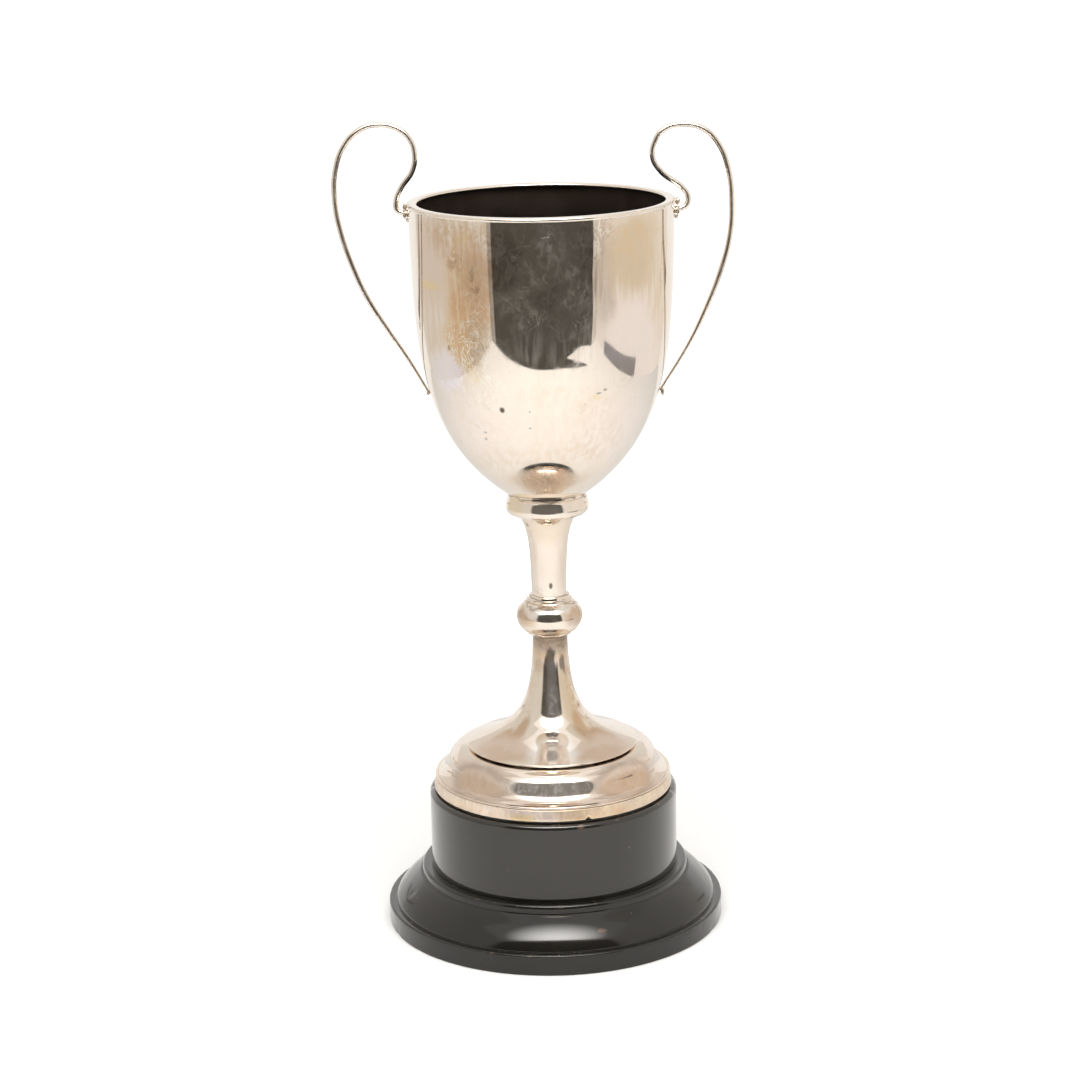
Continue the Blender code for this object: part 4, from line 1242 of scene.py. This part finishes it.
TRUMPET_PATCHES = (
    ("warm", -70, 104, 26, 20, 0.60, "mottled"), ("beige", 42, 106, 20, 22, 0.85),
    # Brown, grey and rose patches at both sides of the disc, 81.8 to 90 mm: painted shade and painted
    # reflections of the tent's walls
    ("brown", 62, 104, 20, 20, 0.55, "mottled"), ("brown", -44, 89.5, 9, 4.6, 0.80),
    ("brown", -58, 85.5, 12, 2.6, 0.80), ("grey", -52, 84.0, 12, 1.4, 0.60, "mottled"),
    ("grey", 54, 84.0, 12, 1.4, 0.60, "mottled"), ("rose", -46, 83.0, 27, 3.4, 0.95),
    ("brown", -40, 81.8, 22, 1.6, 0.30), ("brown", 44, 90.0, 10, 5.6, 0.80),
    ("brown", 60, 85.5, 13, 2.8, 0.75), ("rose", 44, 82.8, 28, 3.4, 0.95),
    # White patch on the disc's front at 84 mm: a painted highlight; lilac with haze at 106 mm: a painted
    # reflection, paler, of the dark opening
    ("brown", 38, 81.8, 22, 1.6, 0.35), ("white", 0, 84.0, 18, 4.0, 0.95),
    ("bloom", 0, 83.4, 18, 4.0, 0.16), ("lilac", 2, 106, 13, 17, 0.60), ("bloom", 2, 106, 14, 18, 0.10),
    ("bloom", 4, 98, 12, 8, 0.10, "mottled"), ("brown", -42, 121.0, 30, 8.0, 0.55),
    # Brown, grey and dark bands at the front, 124 to 127.6 mm: painted shade under the knop's lower ring
    ("rose", 46, 122.0, 30, 7.0, 0.60, "curly"), ("brown", 0, 124.0, 84, 5.5, 0.55),
    ("grey", 4, 125.6, 74, 4.2, 0.90), ("brown", 0, 126.0, 60, 3.0, 0.45, "mottled"),
    ("dark", 4, 125.5, 60, 3.4, 0.60, "mottled"), ("dark", 0, 126.4, 100, 3.0, 0.30),
    ("dark", 0, 127.6, 90, 1.2, 0.65), ("warm", 170, 95, 60, 22, 0.50, "mottled"),
)
STEM_PATCHES = (
    ("grey", -62, 172, 22, 12, 0.25, "mottled"), ("warm", -50, 158, 26, 12, 0.40, "streaky"),
    ("warm", 60, 165, 24, 16, 0.35, "streaky"), ("grey", -40, 148.5, 24, 1.6, 0.35, "mottled"),
    ("warm", 0, 178, 70, 7, 0.45), ("rose", 0, 164, 60, 12, 0.25),
)
STEM_SPOTS = ((5.5, 151.9, 5.5, 1.25, 0.75),)
KNOP_PATCHES = (
    ("brown", -58, 138, 30, 3.6, 0.75), ("grey", -66, 139, 20, 3.0, 0.60, "mottled"),
    ("brown", 58, 138, 30, 3.6, 0.75), ("grey", 66, 139, 20, 3.0, 0.60, "mottled"),
    ("lilac", 48, 136.5, 14, 2, 0.40, "streaky"), ("yellow", -30, 133, 26, 2.4, 0.35, "mottled"),
    # Brown and dark rings all round, 128.6 to 146.4 mm: dark lines along the joints of the knop and its
    # beads
    ("brown", 0, 131.2, 180, 0.7, 0.60), ("brown", 0, 145, 180, 0.6, 0.35, "mottled"),
    ("dark", 0, 146.4, 180, 0.35, 0.45), ("dark", 0, 143.6, 180, 0.35, 0.45),
    ("dark", 0, 129.3, 180, 0.35, 0.70), ("brown", 0, 128.6, 180, 0.6, 0.70),
    ("grey", 40, 191.5, 34, 1.0, 0.55), ("bloom", 0, 187.0, 30, 3.0, 0.10),
    # White band on the knop's front at 141 mm: a painted highlight
    ("white", 0, 141.0, 40, 1.8, 0.60), ("yellow", -56, 188, 20, 3, 0.35),
    # Dark rings all round at 182.4 and 191 mm: dark lines along the collar's top and bottom
    ("dark", 0, 182.4, 180, 0.4, 0.60), ("dark", 0, 191.0, 180, 0.45, 0.50),
)


def make_cup():
    """Every piece of the silver cup."""
    bright = {"warm": 0.28, "haze": 0.020, "rough": 0.028, "hair": 0.3}
    outer = silver("silver_bowl", BOWL_PATCHES, BOWL_SPOTS, BOWL_DENTS, **bright)
    inner = dark_silver("silver_bowl_inside")
    rim = silver("silver_rim", warm=0.20, haze=0.10, rough=0.10)
    stem = silver("silver_stem", STEM_PATCHES, STEM_SPOTS, warm=0.25, haze=0.04, rough=0.05)
    cast = silver("silver_knop", KNOP_PATCHES, warm=0.35, haze=0.05, rough=0.06, wave=0.05)
    flare = {"haze": 0.05, "rough": 0.06, "wave": 0.14, "fray": (9.0, 4.0)}
    trumpet = silver("silver_trumpet", TRUMPET_PATCHES, warm=0.40, **flare)
    shell = {"haze": 0.08, "rough": 0.07, "fray": (7.0, 2.4), "soft": 0.25}
    foot = silver("silver_foot", DOME_PATCHES, warm=0.40, **shell)
    gilt = {"film": OCHRE, "fray": (9.0, 2.0), "veil": 0.30}
    ring = silver("silver_foot_ring", RING_PATCHES, warm=0.70, haze=0.20, rough=0.20, **gilt)
    smooth = {"hair": 0.0, "wave": 0.0}
    wire = silver("silver_wire", warm=0.35, haze=0.16, rough=0.14, **smooth)
    solder = silver("silver_solder", warm=0.80, haze=0.50, rough=0.16, film=RUSTY, **smooth)
    make_bowl(outer, inner)
    make_rim(rim, inner)
    make_collar(cast)
    make_stem(stem)
    make_knop(cast)
    make_trumpet(trumpet)
    make_dome(foot)
    make_skirt(ring)
    make_handles(wire, solder)


def make_plinth():
    """Both blocks of black wood and the cloth under them."""
    drum_top = top_of("plinth_drum") - LAND_HEIGHT
    low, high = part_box("plinth_base")
    chips = ((at(12, 58.6, 54), mm(1.6, 1.2, 0.8)),)
    drum = black_wood("wood_drum", [(drum_top - 0.3 * MM, 0.9 * MM)], chips, 0.15, (1.0, 0.04, 0.36))
    chips = ((at(16.6, 15.8, 66.2), mm(2.0, 1.6, 0.9)),)
    edges = [(low.z + BAND_HEIGHT, 0.8 * MM), (high.z - 0.4 * MM, 0.6 * MM)]
    moulded = black_wood("wood_base", edges, chips, 0.14, (1.0, 0.08, 0.08), faded=0.05)
    make_drum(drum)
    make_base(moulded)
    make_pad(baize("green_baize"))


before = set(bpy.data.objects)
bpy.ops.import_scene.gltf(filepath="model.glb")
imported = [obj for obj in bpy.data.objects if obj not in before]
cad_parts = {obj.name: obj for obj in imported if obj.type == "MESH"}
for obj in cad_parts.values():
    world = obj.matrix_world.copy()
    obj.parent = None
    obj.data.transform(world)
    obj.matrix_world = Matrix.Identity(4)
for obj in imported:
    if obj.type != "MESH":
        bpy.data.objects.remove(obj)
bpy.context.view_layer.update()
make_camera()
make_cup()
make_plinth()
make_tent()
make_floor()
make_light()
bpy.context.scene.view_settings.view_transform = "Standard"
